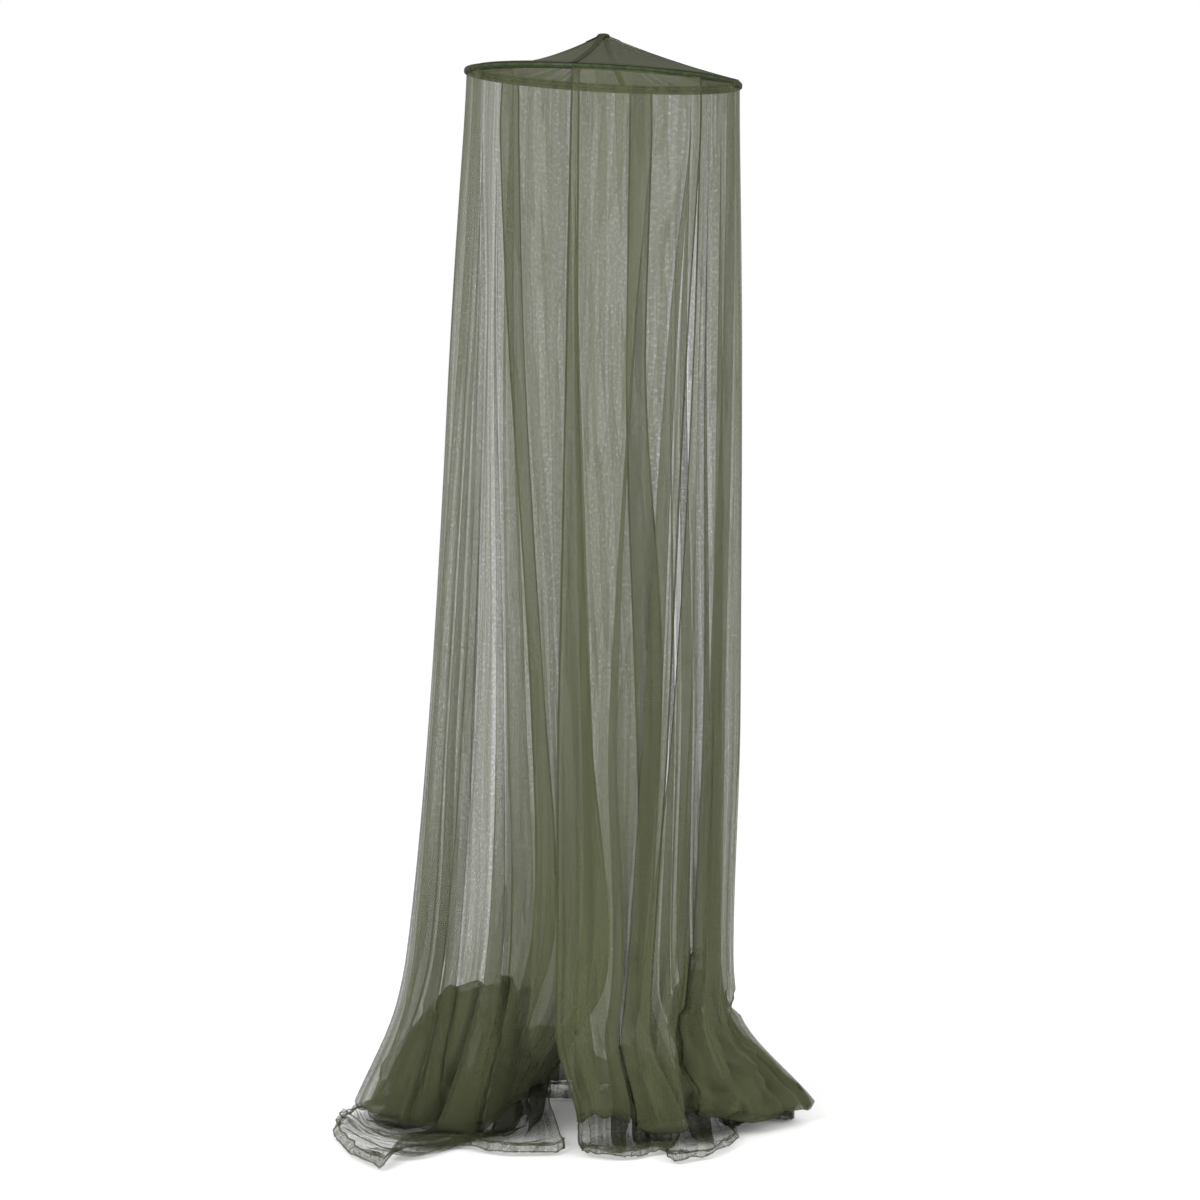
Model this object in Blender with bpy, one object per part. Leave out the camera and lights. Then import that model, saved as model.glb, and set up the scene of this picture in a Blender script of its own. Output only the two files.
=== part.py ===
"""Mosquito net canopy with its hoop.

A round hoop hangs from one point under a shallow net roof. Four long net panels hang from
the hoop's sleeve, lap over each other at the entrances and pool on the floor.

Metres, +Z up. The hanging point is the origin and the front entrance faces -Y.
Angles are in degrees from the front, positive towards +X. Table heights are above the floor.
"""
import math
from collections import namedtuple

import bmesh
import bpy
import numpy as np

# Overall sizes
HANG_HEIGHT = 2.430        # the hanging point above the floor
SEAT_GAP = 0.0003          # between pieces that touch

# Hoop and sleeve
HOOP_RADIUS = 0.300
HOOP_DROP = 0.099          # from the hanging point down to the hoop's centre
HOOP_TILT = 3.2            # the right side hangs lower
ROD_RADIUS = 0.003
SLEEVE_CLOTH = 0.0012
SLEEVE_INSIDE = 0.0033     # half the room between the sleeve's two walls
SLEEVE_TOP = 0.0045        # above the rod's centre
SLEEVE_FOOT = -0.0125      # below the rod's centre
HOOP_STEPS = 40

# Crown and roof
CROWN_RADIUS = 0.0165
CROWN_THICK = 0.008
ROOF_THICK = 0.0012
ROOF_INNER = 0.006
ROOF_START = -0.0115       # height of the roof net under the crown
ROOF_SAG = 0.008           # how far the net sinks between the tapes
ROOF_STEPS = 32
SLACK = 0.012              # extra sag at the left, where the hoop hangs higher

# Tapes
TAPE_WIDTH = 0.013
TAPE_THICK = 0.0013
TAPE_END = 0.028           # length of the doubled end at the crown
TAPE_ANGLES = {"tape_front": -12.0, "tape_right": 78.0, "tape_back": 171.0, "tape_left": -102.0}

# Net panels
NET_THICK = 0.0015
FOLD_GAP = 0.006           # between the layers of a fold
OPEN_WIDTH = 0.014         # a fold narrower than this starts to open
WAVE_DEPTH = 0.005
BREAK_HEIGHT = 0.050       # where the hanging cloth first turns, just above the floor
FLOOR_RUN = 0.0078         # height of the cloth that lies on the floor
PUFF_THICK = 0.044         # between the two sides of a bunched-up fold
LEVELS = (2.32, 1.77, 0.95, 0.40, 0.05)   # heights of the columns hoop ... foot

# The outline of the hanging net at each height: how far it reaches each way, and how sharply
# its two ends are creased (0 round, 1 pointed)
Section = namedtuple("Section", "height left right near far crease_left crease_right")
SECTIONS = (
    Section(2.32, -0.300, 0.300, -0.300, 0.300, 0.00, 0.00),
    Section(1.77, -0.336, 0.307, -0.312, 0.312, 0.55, 0.20),
    Section(0.95, -0.386, 0.304, -0.325, 0.330, 0.80, 0.40),
    Section(0.40, -0.439, 0.290, -0.290, 0.355, 0.80, 0.60),
    Section(0.28, -0.463, 0.300, -0.262, 0.370, 0.65, 0.70),
    Section(0.05, -0.560, 0.475, -0.190, 0.400, 0.20, 1.00),
)

# Where a fold's middle or a panel's edge lies, as angles at the five levels
Fold = namedtuple("Fold", "lap hoop upper middle lower foot wide_hoop wide_middle wide_foot")
Edge = namedtuple("Edge", "hoop upper middle lower foot")
# The pooled hem by its foot angle: height of the bunched-up fold, how far it tucks in, and where
# the hem's edge lies on the floor
Pool = namedtuple("Pool", "angle lift tuck hem_x hem_y")
# Where the foot of a panel swings off the outline: from which height, and how far each way
Swing = namedtuple("Swing", "angle start x y")
Panel = namedtuple("Panel", "name stand start end folds pool swing")
STILL = (Swing(-180, 0.40, 0.0, 0.0), Swing(360, 0.40, 0.0, 0.0))

PANELS = (
    Panel(
        "net_left", -0.004,
        Edge(-140.0, -149.0, -164.0, -174.0, -160.0),
        Edge(-9.5, -6.8, 2.6, 14.0, -5.0),
        (
            Fold(-1, -118, -121, -121, -126, -122, 0.004, 0.024, 0.034),
            Fold(1, -89, -90, -90, -90, -90, 0.004, 0.005, 0.010),
            Fold(-1, -69, -62, -61, -57, -60, 0.016, 0.085, 0.090),
            Fold(1, -61, -52, -46, -42, -44, 0.005, 0.034, 0.040),
            Fold(1, -49, -43, -32, -27, -33, 0.003, 0.020, 0.044),
            Fold(-1, -40, -36, -25, -17, -22, 0.006, 0.034, 0.045),
            Fold(1, -13, -10, -1.5, 9.5, -9.5, 0.005, 0.024, 0.030),
        ),
        (
            Pool(-160, 0.09, 0.035, -0.219, 0.430),
            Pool(-130, 0.10, 0.040, -0.460, 0.330),
            Pool(-95, 0.12, 0.040, -0.575, 0.150),
            Pool(-80, 0.20, 0.040, -0.598, 0.050),
            Pool(-68, 0.31, 0.045, -0.588, -0.090),
            Pool(-59, 0.34, 0.050, -0.548, -0.228),
            Pool(-51, 0.35, 0.050, -0.472, -0.384),
            Pool(-47, 0.36, 0.055, -0.442, -0.225),
            Pool(-41, 0.36, 0.055, -0.373, -0.128),
            Pool(-36, 0.36, 0.055, -0.325, -0.070),
            Pool(-31, 0.35, 0.055, -0.273, -0.240),
            Pool(-26, 0.28, 0.055, -0.250, -0.205),
            Pool(-20, 0.18, 0.050, -0.211, -0.243),
            Pool(-16, 0.12, 0.045, -0.180, -0.276),
            Pool(-10, 0.10, 0.040, -0.113, -0.250),
            Pool(-5, 0.09, 0.040, -0.084, -0.186),
        ),
        (
            Swing(-180, 0.48, 0.0, 0.0), Swing(-26, 0.48, 0.0, 0.0),
            Swing(-14, 0.48, -0.02, 0.16), Swing(-5, 0.48, -0.04, 0.40),
        ),
    ),
    Panel(
        "net_front", 0.012,
        Edge(-12.5, -11.0, -9.0, -4.0, -1.6),
        Edge(43.5, 30.0, 22.0, 23.5, 20.0),
        (
            Fold(1, 22, 14, 10, 18.5, 9, 0.003, 0.012, 0.020),
        ),
        (
            Pool(-2, 0.08, 0.035, -0.050, -0.214),
            Pool(2, 0.09, 0.035, -0.017, -0.268),
            Pool(6, 0.09, 0.035, 0.021, -0.278),
            Pool(12, 0.10, 0.040, 0.074, -0.262),
            Pool(20, 0.10, 0.035, 0.126, -0.222),
        ),
        STILL,
    ),
    Panel(
        "net_right", -0.004,
        Edge(44.5, 41.7, 46.6, 45.8, 22.0),
        Edge(168.5, 167.9, 160.7, 155.0, 160.0),
        (
            Fold(-1, 50, 47.5, 51, 52, 34, 0.004, 0.026, 0.040),
            Fold(1, 68, 64, 58, 61, 52, 0.014, 0.044, 0.050),
            Fold(1, 89, 90, 90, 90, 90, 0.004, 0.005, 0.012),
            Fold(-1, 118, 120, 120, 116, 114, 0.004, 0.020, 0.040),
            Fold(1, 138, 142, 137.5, 135, 130, 0.006, 0.028, 0.040),
            Fold(1, 148, 148, 144.5, 143, 146, 0.003, 0.012, 0.030),
        ),
        (
            Pool(22, 0.09, 0.040, 0.150, -0.300),
            Pool(27, 0.10, 0.045, 0.172, -0.312),
            Pool(33, 0.14, 0.050, 0.220, -0.274),
            Pool(42, 0.22, 0.050, 0.273, -0.186),
            Pool(50, 0.30, 0.050, 0.296, -0.070),
            Pool(56, 0.34, 0.050, 0.276, 0.060),
            Pool(64, 0.35, 0.050, 0.318, 0.104),
            Pool(74, 0.30, 0.050, 0.368, 0.168),
            Pool(84, 0.20, 0.050, 0.420, 0.250),
            Pool(95, 0.14, 0.045, 0.452, 0.330),
            Pool(130, 0.10, 0.040, 0.365, 0.330),
            Pool(160, 0.09, 0.035, 0.135, 0.430),
        ),
        STILL,
    ),
    Panel(
        "net_back", 0.012,
        Edge(158.5, 160.2, 150.5, 150.4, 164.0),
        Edge(229.0, 217.0, 201.0, 194.0, 196.0),
        (
            Fold(1, 192, 188, 180, 174, 180, 0.003, 0.022, 0.030),
        ),
        (
            Pool(160, 0.08, 0.035, 0.140, 0.440),
            Pool(180, 0.09, 0.040, -0.040, 0.455),
            Pool(200, 0.08, 0.035, -0.220, 0.440),
        ),
        STILL,
    ),
)

# The pooled cloth from its first turn to the foot of the bunch. Each row lies in from the outline
# by so many tucks and bunch widths plus a reach, at so many break heights and lifts plus a rise;
# its layers lie this far outwards and upwards, and stay this far folded
Turn = namedtuple("Turn", "tucks puffs reach breaks lifts rise out up folded")
TURNS = (
    Turn(0.0, 0.0, -0.008, 1.0, 0.0, -0.016, 0.7, -0.7, 1.0),
    Turn(0.6, 0.0, 0.000, 1.0, 0.0, -0.016, -0.5, -0.85, 1.0),
    Turn(1.0, 0.0, 0.000, 1.0, 0.0, 0.012, -1.0, 0.0, 1.0),
    Turn(1.0, 0.0, 0.000, 0.5, 0.5, 0.000, -1.0, 0.0, 1.0),
    Turn(1.0, 0.0, -0.002, 0.0, 1.0, -0.014, -1.0, 0.0, 0.9),
    Turn(1.0, 0.5, 0.000, 0.0, 1.0, 0.000, 0.0, -1.0, 0.9),
    Turn(1.0, 1.0, 0.000, 0.0, 1.0, -0.018, 1.0, 0.0, 0.9),
    Turn(1.0, 1.0, -0.004, 0.0, 0.3, 0.012, 1.0, 0.0, 0.8),
    Turn(1.0, 1.0, 0.010, 0.0, 0.0, FLOOR_RUN + 0.004, 0.7, 0.7, 0.7),
)
# The cloth on the floor: share of the way to the hem, and how far its layers stay folded
Run = namedtuple("Run", "share folded")
RUNS = (Run(0.45, 0.6), Run(0.8, 0.5), Run(1.0, 0.4))

# A fold's six knots: side of the fold, layer (1 lies outermost when the lap is 1)
FOLD_PATH = ((-1, 1), (1, 1), (1, 0), (-1, 0), (-1, -1), (1, -1))
BETWEEN_STEP = 18.0        # one plain knot for about this many degrees between folds
DROPS = (0.0, 0.04, 0.16, 0.36, 0.60, 0.80, 0.93, 1.0)   # rows of the hanging part


# ---------------------------------------------------------------- places

def smooth(value):
    """0 below 0, 1 above 1, with a soft start and end."""
    value = np.clip(value, 0.0, 1.0)
    return value * value * (3.0 - 2.0 * value)


def along(value, stops, values):
    """Read a table softly: it passes through each stop without overshoot."""
    stops = np.asarray(stops, float)
    values = np.asarray(values, float)
    if stops[0] > stops[-1]:
        stops, values = stops[::-1], values[::-1]
    steps = np.diff(values) / np.diff(stops)
    slopes = np.zeros(len(stops))
    same_way = steps[1:] * steps[:-1] > 0
    slopes[1:-1] = np.where(same_way, 2 * steps[1:] * steps[:-1] / (steps[1:] + steps[:-1] + 1e-12), 0)
    slopes[0], slopes[-1] = steps[0], steps[-1]
    value = np.clip(value, stops[0], stops[-1])
    cell = np.clip(np.searchsorted(stops, value) - 1, 0, len(steps) - 1)
    size = stops[cell + 1] - stops[cell]
    t = (value - stops[cell]) / size
    return ((1 + 2 * t) * (1 - t) ** 2 * values[cell] + t * (1 - t) ** 2 * size * slopes[cell]
            + t * t * (3 - 2 * t) * values[cell + 1] + t * t * (t - 1) * size * slopes[cell + 1])


def column(rows, name):
    return [getattr(row, name) for row in rows]


def on_hoop(angle, radius, rise):
    """A point by its angle, its distance from the hoop's axis and its rise over the hoop."""
    turn = np.radians(angle)
    x, y = radius * np.sin(turn), -radius * np.cos(turn)
    tilt = math.radians(HOOP_TILT)
    return np.stack([
        x * math.cos(tilt) + rise * math.sin(tilt),
        y + 0.0 * x,
        -HOOP_DROP - x * math.sin(tilt) + rise * math.cos(tilt),
    ], axis=-1)


def outline(angle, height):
    """The hanging net's outline: place and outward direction in plan."""
    left, right, near, far, crease_left, crease_right = (
        along(height, column(SECTIONS, "height"), column(SECTIONS, name)) for name in Section._fields[1:])
    half_x, half_y = (right - left) / 2, (far - near) / 2
    turn = np.radians(angle)
    crease = np.where(np.sin(turn) < 0, crease_left, crease_right)
    deep = np.cos(turn) * np.abs(np.cos(turn)) ** crease
    place = np.stack([(left + right) / 2 + half_x * np.sin(turn), (near + far) / 2 - half_y * deep], -1)
    out = np.stack([np.sin(turn) / half_x, -np.cos(turn) / half_y], -1)
    return place, out / np.linalg.norm(out, axis=-1, keepdims=True)


# ---------------------------------------------------------------- net panels

def edge_angle(edge, height):
    return along(height, LEVELS, [getattr(edge, level) for level in Edge._fields])


def fold_knots(fold, height):
    """Angles, layers and share folded of one fold's knots at one height."""
    centre = edge_angle(fold, height)
    wide = along(height, (LEVELS[0], LEVELS[2], LEVELS[4]), (fold.wide_hoop, fold.wide_middle, fold.wide_foot))
    folded = smooth(wide / OPEN_WIDTH)
    half = np.degrees(wide / 2 / HOOP_RADIUS)
    half_open = np.degrees(OPEN_WIDTH / 2 / HOOP_RADIUS)
    spread = np.linspace(-1, 1, len(FOLD_PATH))
    angles = [centre + folded * side * half + (1 - folded) * open_at * half_open
              for (side, _), open_at in zip(FOLD_PATH, spread)]
    layers = [folded * layer * fold.lap for _, layer in FOLD_PATH]
    return angles, layers


def panel_knots(panel, height):
    """One panel's section at one height: angle, layer and wave of each knot."""
    stops = [([edge_angle(panel.start, height)], [0.0])]
    stops += [fold_knots(fold, height) for fold in panel.folds]
    stops += [([edge_angle(panel.end, height)], [0.0])]
    top = [panel.start.hoop] + [fold.hoop for fold in panel.folds] + [panel.end.hoop]
    angles, layers, waves = [], [], []
    for index, (stop_angles, stop_layers) in enumerate(stops):
        angles += stop_angles
        layers += stop_layers
        waves += [0.0] * len(stop_angles)
        if index + 1 == len(stops):
            break
        count = max(1, round((top[index + 1] - top[index]) / BETWEEN_STEP))
        first, last = stop_angles[-1], stops[index + 1][0][0]
        for step in range(1, count + 1):
            share = step / (count + 1)
            angles.append(first + (last - first) * share)
            layers.append(stop_layers[-1] * (1 - share) + stops[index + 1][1][0] * share)
            waves.append(1.0 if (index + step) % 2 else -1.0)
    return np.array(angles), np.array(layers), np.array(waves)


def swung(panel, foot_angles, heights):
    """How far a panel's columns swing off the outline at their heights."""
    stops = column(panel.swing, "angle")
    start, x, y = (along(foot_angles, stops, column(panel.swing, name)) for name in ("start", "x", "y"))
    share = np.clip((start - heights) / (start - BREAK_HEIGHT), 0.0, 1.0) ** 1.3
    return np.column_stack([x * share, y * share])


def hanging_rows(panel):
    """The hanging part, from the sleeve down to the break, as rows of points."""
    rows = []
    top = HANG_HEIGHT - HOOP_DROP + SLEEVE_FOOT - SEAT_GAP
    foot_angles = panel_knots(panel, BREAK_HEIGHT)[0]
    for drop in DROPS:
        height = top + (BREAK_HEIGHT - top) * drop
        angles, layers, waves = panel_knots(panel, height)
        settle = smooth(drop / 0.05)
        stand = panel.stand * settle + math.copysign(0.5, panel.stand) * (1 - settle) * (
            SLEEVE_INSIDE * 2 + SLEEVE_CLOTH)
        stand = stand + layers * FOLD_GAP + waves * WAVE_DEPTH * smooth(drop / 0.4)
        place, out = outline(angles, height)
        flat = place + out * stand[:, None] + swung(panel, foot_angles, height)
        hung = np.column_stack([flat, np.full(len(angles), height - HANG_HEIGHT)])
        sewn = on_hoop(angles, HOOP_RADIUS + stand, SLEEVE_FOOT - SEAT_GAP)
        hung[:, 2] += (1 - drop) * (sewn[:, 2] + HANG_HEIGHT - top)
        rows.append(hung * settle + sewn * (1 - settle))
    return rows


def knots_at(panel, heights):
    """Angle of each knot, every knot at a height of its own."""
    return np.array([panel_knots(panel, height)[0][index] for index, height in enumerate(heights)])


def pool_rows(panel):
    """The pooled part: the cloth turns up into a bunch, comes down and runs out as the hem."""
    foot_angles, layers, waves = panel_knots(panel, BREAK_HEIGHT)
    stops = column(panel.pool, "angle")
    lift, tuck, hem_x, hem_y = (
        along(foot_angles, stops, column(panel.pool, name)) for name in Pool._fields[1:])
    hem = np.column_stack([hem_x, hem_y])
    rows = []
    for turn in TURNS:
        reach = turn.reach - turn.tucks * tuck - turn.puffs * PUFF_THICK
        height = turn.rise + turn.breaks * BREAK_HEIGHT + turn.lifts * lift
        wall_height = np.maximum(height, BREAK_HEIGHT)
        place, out = outline(knots_at(panel, wall_height), wall_height)
        place = place + swung(panel, foot_angles, wall_height)
        layer = layers * FOLD_GAP * turn.folded
        offset = panel.stand + reach + (layer + waves * WAVE_DEPTH / 2) * turn.out
        flat = place + out * offset[:, None]
        rows.append(np.column_stack([flat, height - HANG_HEIGHT + layer * turn.up]))
    # along the floor to the hem
    for run in RUNS:
        level = FLOOR_RUN - HANG_HEIGHT + layers * FOLD_GAP * run.folded
        rows.append(np.column_stack([flat * (1 - run.share) + hem * run.share, level]))
    return rows


# ---------------------------------------------------------------- meshes

def make_object(name, points, faces, material, smooth_angle=35.0):
    mesh = bpy.data.meshes.new(name)
    mesh.from_pydata([tuple(point) for point in points], [], faces)
    shell = bmesh.new()
    shell.from_mesh(mesh)
    bmesh.ops.recalc_face_normals(shell, faces=shell.faces)
    shell.to_mesh(mesh)
    shell.free()
    mesh.materials.append(material)
    mesh.shade_smooth()
    mesh.set_sharp_from_angle(angle=math.radians(smooth_angle))
    piece = bpy.data.objects.new(name, mesh)
    bpy.context.collection.objects.link(piece)
    return piece


def make_material(name, colour, roughness):
    material = bpy.data.materials.new(name)
    material.use_nodes = True
    shader = material.node_tree.nodes["Principled BSDF"]
    shader.inputs["Base Color"].default_value = (*colour, 1.0)
    shader.inputs["Roughness"].default_value = roughness
    shader.inputs["Metallic"].default_value = 0.0
    return material


def normals_of(grid):
    """Outward directions of a grid of points, from its rows and columns."""
    down = np.gradient(grid, axis=0)
    across = np.gradient(grid, axis=1)
    normal = np.cross(down, across)
    return normal / np.linalg.norm(normal, axis=2, keepdims=True)


def sheet(name, grid, thick, material, closed=False):
    """A solid sheet of one thickness on a grid of rows and columns."""
    grid = np.asarray(grid)
    rows, columns = grid.shape[:2]
    if closed:
        wide = np.concatenate([grid[:, -2:], grid, grid[:, :2]], axis=1)
        normal = normals_of(wide)[:, 2:-2]
    else:
        normal = normals_of(grid)
    outer = (grid + normal * thick / 2).reshape(-1, 3)
    inner = (grid - normal * thick / 2).reshape(-1, 3)
    points = np.vstack([outer, inner])
    back = rows * columns
    faces = []
    spans = columns if closed else columns - 1
    for row in range(rows - 1):
        for place in range(spans):
            a = row * columns + place
            b = row * columns + (place + 1) % columns
            c, d = b + columns, a + columns
            faces.append((a, d, c, b))
            faces.append((back + a, back + b, back + c, back + d))
    for place in range(spans):
        following = (place + 1) % columns
        faces.append((place, following, back + following, back + place))
        last = (rows - 1) * columns
        faces.append((last + following, last + place, back + last + place, back + last + following))
    if not closed:
        for row in range(rows - 1):
            a, d = row * columns, (row + 1) * columns
            faces.append((d, a, back + a, back + d))
            b, c = a + columns - 1, d + columns - 1
            faces.append((b, c, back + c, back + b))
    return make_object(name, points, faces, material)


def ring(name, profile, steps, material):
    """A closed profile (distance from the hoop's radius, rise) carried round the hoop."""
    angles = np.arange(steps) * 360.0 / steps
    points = np.concatenate([on_hoop(angles, HOOP_RADIUS + away, rise)[None] for away, rise in profile])
    count = len(profile)
    faces = []
    for index in range(count):
        following = (index + 1) % count
        for step in range(steps):
            beyond = (step + 1) % steps
            faces.append((index * steps + step, index * steps + beyond,
                          following * steps + beyond, following * steps + step))
    return make_object(name, points.reshape(-1, 3), faces, material)


# ---------------------------------------------------------------- pieces

def roof_height(angle, radius):
    """Height of the roof net's middle at an angle and a distance from the axis."""
    share = (radius - ROOF_INNER) / (HOOP_RADIUS - ROOF_INNER)
    rim = on_hoop(angle, HOOP_RADIUS, SLEEVE_TOP + SEAT_GAP + ROOF_THICK / 2)[..., 2]
    off_tape = np.min([np.abs((angle - tape + 180.0) % 360.0 - 180.0) for tape in TAPE_ANGLES.values()], axis=0)
    sag = ROOF_SAG * np.sin(np.radians(np.clip(off_tape * 2, 0, 90))) ** 2
    sag = sag + SLACK * np.clip(-np.sin(np.radians(angle)), 0, 1) ** 2
    return ROOF_START + (rim - ROOF_START) * share - 4 * sag * share * (1 - share)


def build_roof(material):
    angles = np.arange(ROOF_STEPS) * 360.0 / ROOF_STEPS + list(TAPE_ANGLES.values())[0]
    rows = []
    for radius in np.linspace(ROOF_INNER, HOOP_RADIUS, 7):
        turn = np.radians(angles)
        rows.append(np.column_stack([radius * np.sin(turn), -radius * np.cos(turn), roof_height(angles, radius)]))
    return sheet("roof_net", rows, ROOF_THICK, material, closed=True)


def build_tape(name, angle, material):
    """Webbing from the crown to the hoop, doubled over at the crown."""
    turn = math.radians(angle)
    out = np.array([math.sin(turn), -math.cos(turn)])
    aside = np.array([math.cos(turn), math.sin(turn)])
    first = CROWN_RADIUS - 0.008
    stops = [(radius, 1.0) for radius in (first, 0.10, 0.17, 0.24, HOOP_RADIUS)]
    stops[1:1] = [(first + TAPE_END, 2.0), (first + TAPE_END + 0.001, 1.0)]
    stops[0] = (first, 2.0)
    points = []
    for radius, layers in stops:
        across = math.degrees(math.atan2(TAPE_WIDTH / 2, radius))
        level = max(roof_height(np.array([angle, angle - across, angle + across]), radius))
        level += ROOF_THICK / 2 + SEAT_GAP + 0.0004
        for side in (-0.5, 0.5):
            flat = out * radius + aside * side * TAPE_WIDTH
            points.append((*flat, level))
            points.append((*flat, level + TAPE_THICK * layers))
    faces = [(0, 2, 3, 1)]
    for index in range(len(stops) - 1):
        a, b = index * 4, index * 4 + 4
        faces += [(a, b, b + 2, a + 2), (a + 1, a + 3, b + 3, b + 1), (a, a + 1, b + 1, b), (a + 2, b + 2, b + 3, a + 3)]
    end = (len(stops) - 1) * 4
    faces.append((end, end + 1, end + 3, end + 2))
    return make_object(name, points, faces, material)


def build_crown(material):
    """A small round patch with a domed edge and a flat top."""
    profile = ((0.010, 0.0), (0.0145, -0.0010), (CROWN_RADIUS, -0.0030), (CROWN_RADIUS, -CROWN_THICK + 0.0005),
               (CROWN_RADIUS - 0.0008, -CROWN_THICK))
    steps = 24
    points = []
    for radius, height in profile:
        for step in range(steps):
            turn = 2 * math.pi * step / steps
            points.append((radius * math.sin(turn), -radius * math.cos(turn), height))
    faces = [tuple(range(steps)), tuple(reversed(range((len(profile) - 1) * steps, len(profile) * steps)))]
    for index in range(len(profile) - 1):
        for step in range(steps):
            beyond = (step + 1) % steps
            a, b = index * steps, (index + 1) * steps
            faces.append((a + step, b + step, b + beyond, a + beyond))
    return make_object("crown_patch", points, faces, material)


def build_hoop(material):
    rod = [(ROD_RADIUS * math.cos(turn), ROD_RADIUS * math.sin(turn))
           for turn in np.arange(6) * math.pi / 3]
    return ring("hoop", rod, HOOP_STEPS, material)


def build_sleeve(material):
    """A band folded over the hoop, open along its foot where the panels are sewn in."""
    outside = SLEEVE_INSIDE + SLEEVE_CLOTH
    crest = SLEEVE_TOP
    profile = (
        (outside, SLEEVE_FOOT), (outside, crest - 0.0022), (outside - 0.0022, crest),
        (-outside + 0.0022, crest), (-outside, crest - 0.0022), (-outside, SLEEVE_FOOT),
        (-SLEEVE_INSIDE, SLEEVE_FOOT), (-SLEEVE_INSIDE, crest - 0.0028), (-SLEEVE_INSIDE + 0.0016, crest - SLEEVE_CLOTH),
        (SLEEVE_INSIDE - 0.0016, crest - SLEEVE_CLOTH), (SLEEVE_INSIDE, crest - 0.0028), (SLEEVE_INSIDE, SLEEVE_FOOT),
    )
    return ring("hoop_sleeve", profile, HOOP_STEPS, material)


def build_panel(panel, material):
    return sheet(panel.name, hanging_rows(panel) + pool_rows(panel), NET_THICK, material)


def build():
    for piece in list(bpy.data.objects):
        bpy.data.objects.remove(piece, do_unlink=True)
    net = {
        panel.name: make_material(panel.name, (0.115, 0.125, 0.075), 0.85) for panel in PANELS
    }
    build_crown(make_material("crown_patch", (0.030, 0.032, 0.018), 0.9))
    build_roof(make_material("roof_net", (0.090, 0.098, 0.060), 0.85))
    for name, angle in TAPE_ANGLES.items():
        build_tape(name, angle, make_material(name, (0.035, 0.038, 0.022), 0.8))
    build_hoop(make_material("hoop", (0.075, 0.100, 0.040), 0.35))
    build_sleeve(make_material("hoop_sleeve", (0.060, 0.065, 0.038), 0.85))
    for panel in PANELS:
        build_panel(panel, net[panel.name])


build()
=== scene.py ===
"""The looks of a hanging mosquito net: sheer olive net, dark tape and a green hoop.

Metres, +Z up. The hanging point is the origin and the front entrance faces -Y.
Angles are in degrees from the front, positive towards +X. Table heights are above the floor.
"""
import math
from collections import namedtuple

import bmesh
import bpy
import numpy as np
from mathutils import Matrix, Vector


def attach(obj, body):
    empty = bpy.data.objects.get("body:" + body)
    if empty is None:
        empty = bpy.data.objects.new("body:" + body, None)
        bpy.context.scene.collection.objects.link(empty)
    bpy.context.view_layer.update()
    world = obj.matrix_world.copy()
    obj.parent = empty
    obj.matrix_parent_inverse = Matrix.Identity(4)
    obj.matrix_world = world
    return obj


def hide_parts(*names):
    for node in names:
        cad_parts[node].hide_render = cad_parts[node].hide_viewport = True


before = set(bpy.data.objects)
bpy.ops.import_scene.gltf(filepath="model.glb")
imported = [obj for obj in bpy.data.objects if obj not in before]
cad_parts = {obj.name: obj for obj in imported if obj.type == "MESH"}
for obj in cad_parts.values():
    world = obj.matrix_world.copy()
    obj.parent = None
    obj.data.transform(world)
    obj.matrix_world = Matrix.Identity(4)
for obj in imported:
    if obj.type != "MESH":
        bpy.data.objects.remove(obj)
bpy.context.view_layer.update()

# Sizes; the hoop, its height and the hanging point are those of the solids
HANG_HEIGHT = 2.430        # the hanging point above the floor
SEAT_GAP = 0.0003
HOOP_RADIUS = 0.300
HOOP_DROP = 0.099          # from the hanging point down to the hoop's centre
HOOP_TILT = 3.2            # the right side hangs lower
ROD_RADIUS = 0.003
SLEEVE_TOP = 0.0045
CASING_MIDDLE = -0.0016
CASING_HALF = 0.0066
CASING_WIDE = 0.0043
CASING_BAND = [(-0.0170, 0.0092), (-0.0090, 0.0066), (-0.0020, 0.0040)]
RING_STEPS = 288
SEAM_RISE = -0.0030         # where the panels are sewn in, inside the casing
SEAM_STAND = 0.0024
CROWN_RADIUS = 0.0165
ROOF_INNER = 0.006
ROOF_START = -0.0088
ROOF_SAG = 0.005
TAPE_SAG = 0.006            # the tapes hang through a little too
ROOF_THICK = 0.0012
ROOF_GATHER = 0.0009
SLACK = 0.012
TAPE_WIDTH = 0.013
TAPE_THICK = 0.0013
TAPE_END = 0.028            # length of the doubled end
# the tape's section: share of its width to the side, and of its thickness up
TAPE_SECTION = ((-0.5, 0.15), (-0.46, 0.0), (0.46, 0.0), (0.5, 0.15), (0.5, 0.85), (0.46, 1.0),
                (0.2, 1.04), (-0.2, 1.04), (-0.46, 1.0), (-0.5, 0.85))
TAPE_TOP = (5, 8)          # the points of the section where its top starts and ends
# the crown patch: radius and height
CROWN_PROFILE = ((0.0, -0.0030), (0.007, -0.0031), (0.0105, -0.0040), (0.0135, -0.0062), (0.0150, -0.0088),
                 (0.0150, -0.0104), (0.0138, -0.0112), (0.009, -0.0100), (0.004, -0.0092), (0.0, -0.0092))
CROWN_STEPS = 96
TAPE_ANGLES = {"tape_front": -12.0, "tape_right": 78.0, "tape_back": 171.0, "tape_left": -102.0}
FOLD_GAP = 0.006           # between the layers of a fold
OPEN_WIDTH = 0.014         # a fold narrower than this starts to open
BREAK_HEIGHT = 0.050       # where the hanging cloth first turns, just above the floor
FLOOR_RUN = 0.0078
PUFF_THICK = 0.044
LEVELS = (2.32, 1.77, 0.95, 0.40, 0.05)   # heights of the columns hoop ... foot

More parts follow.
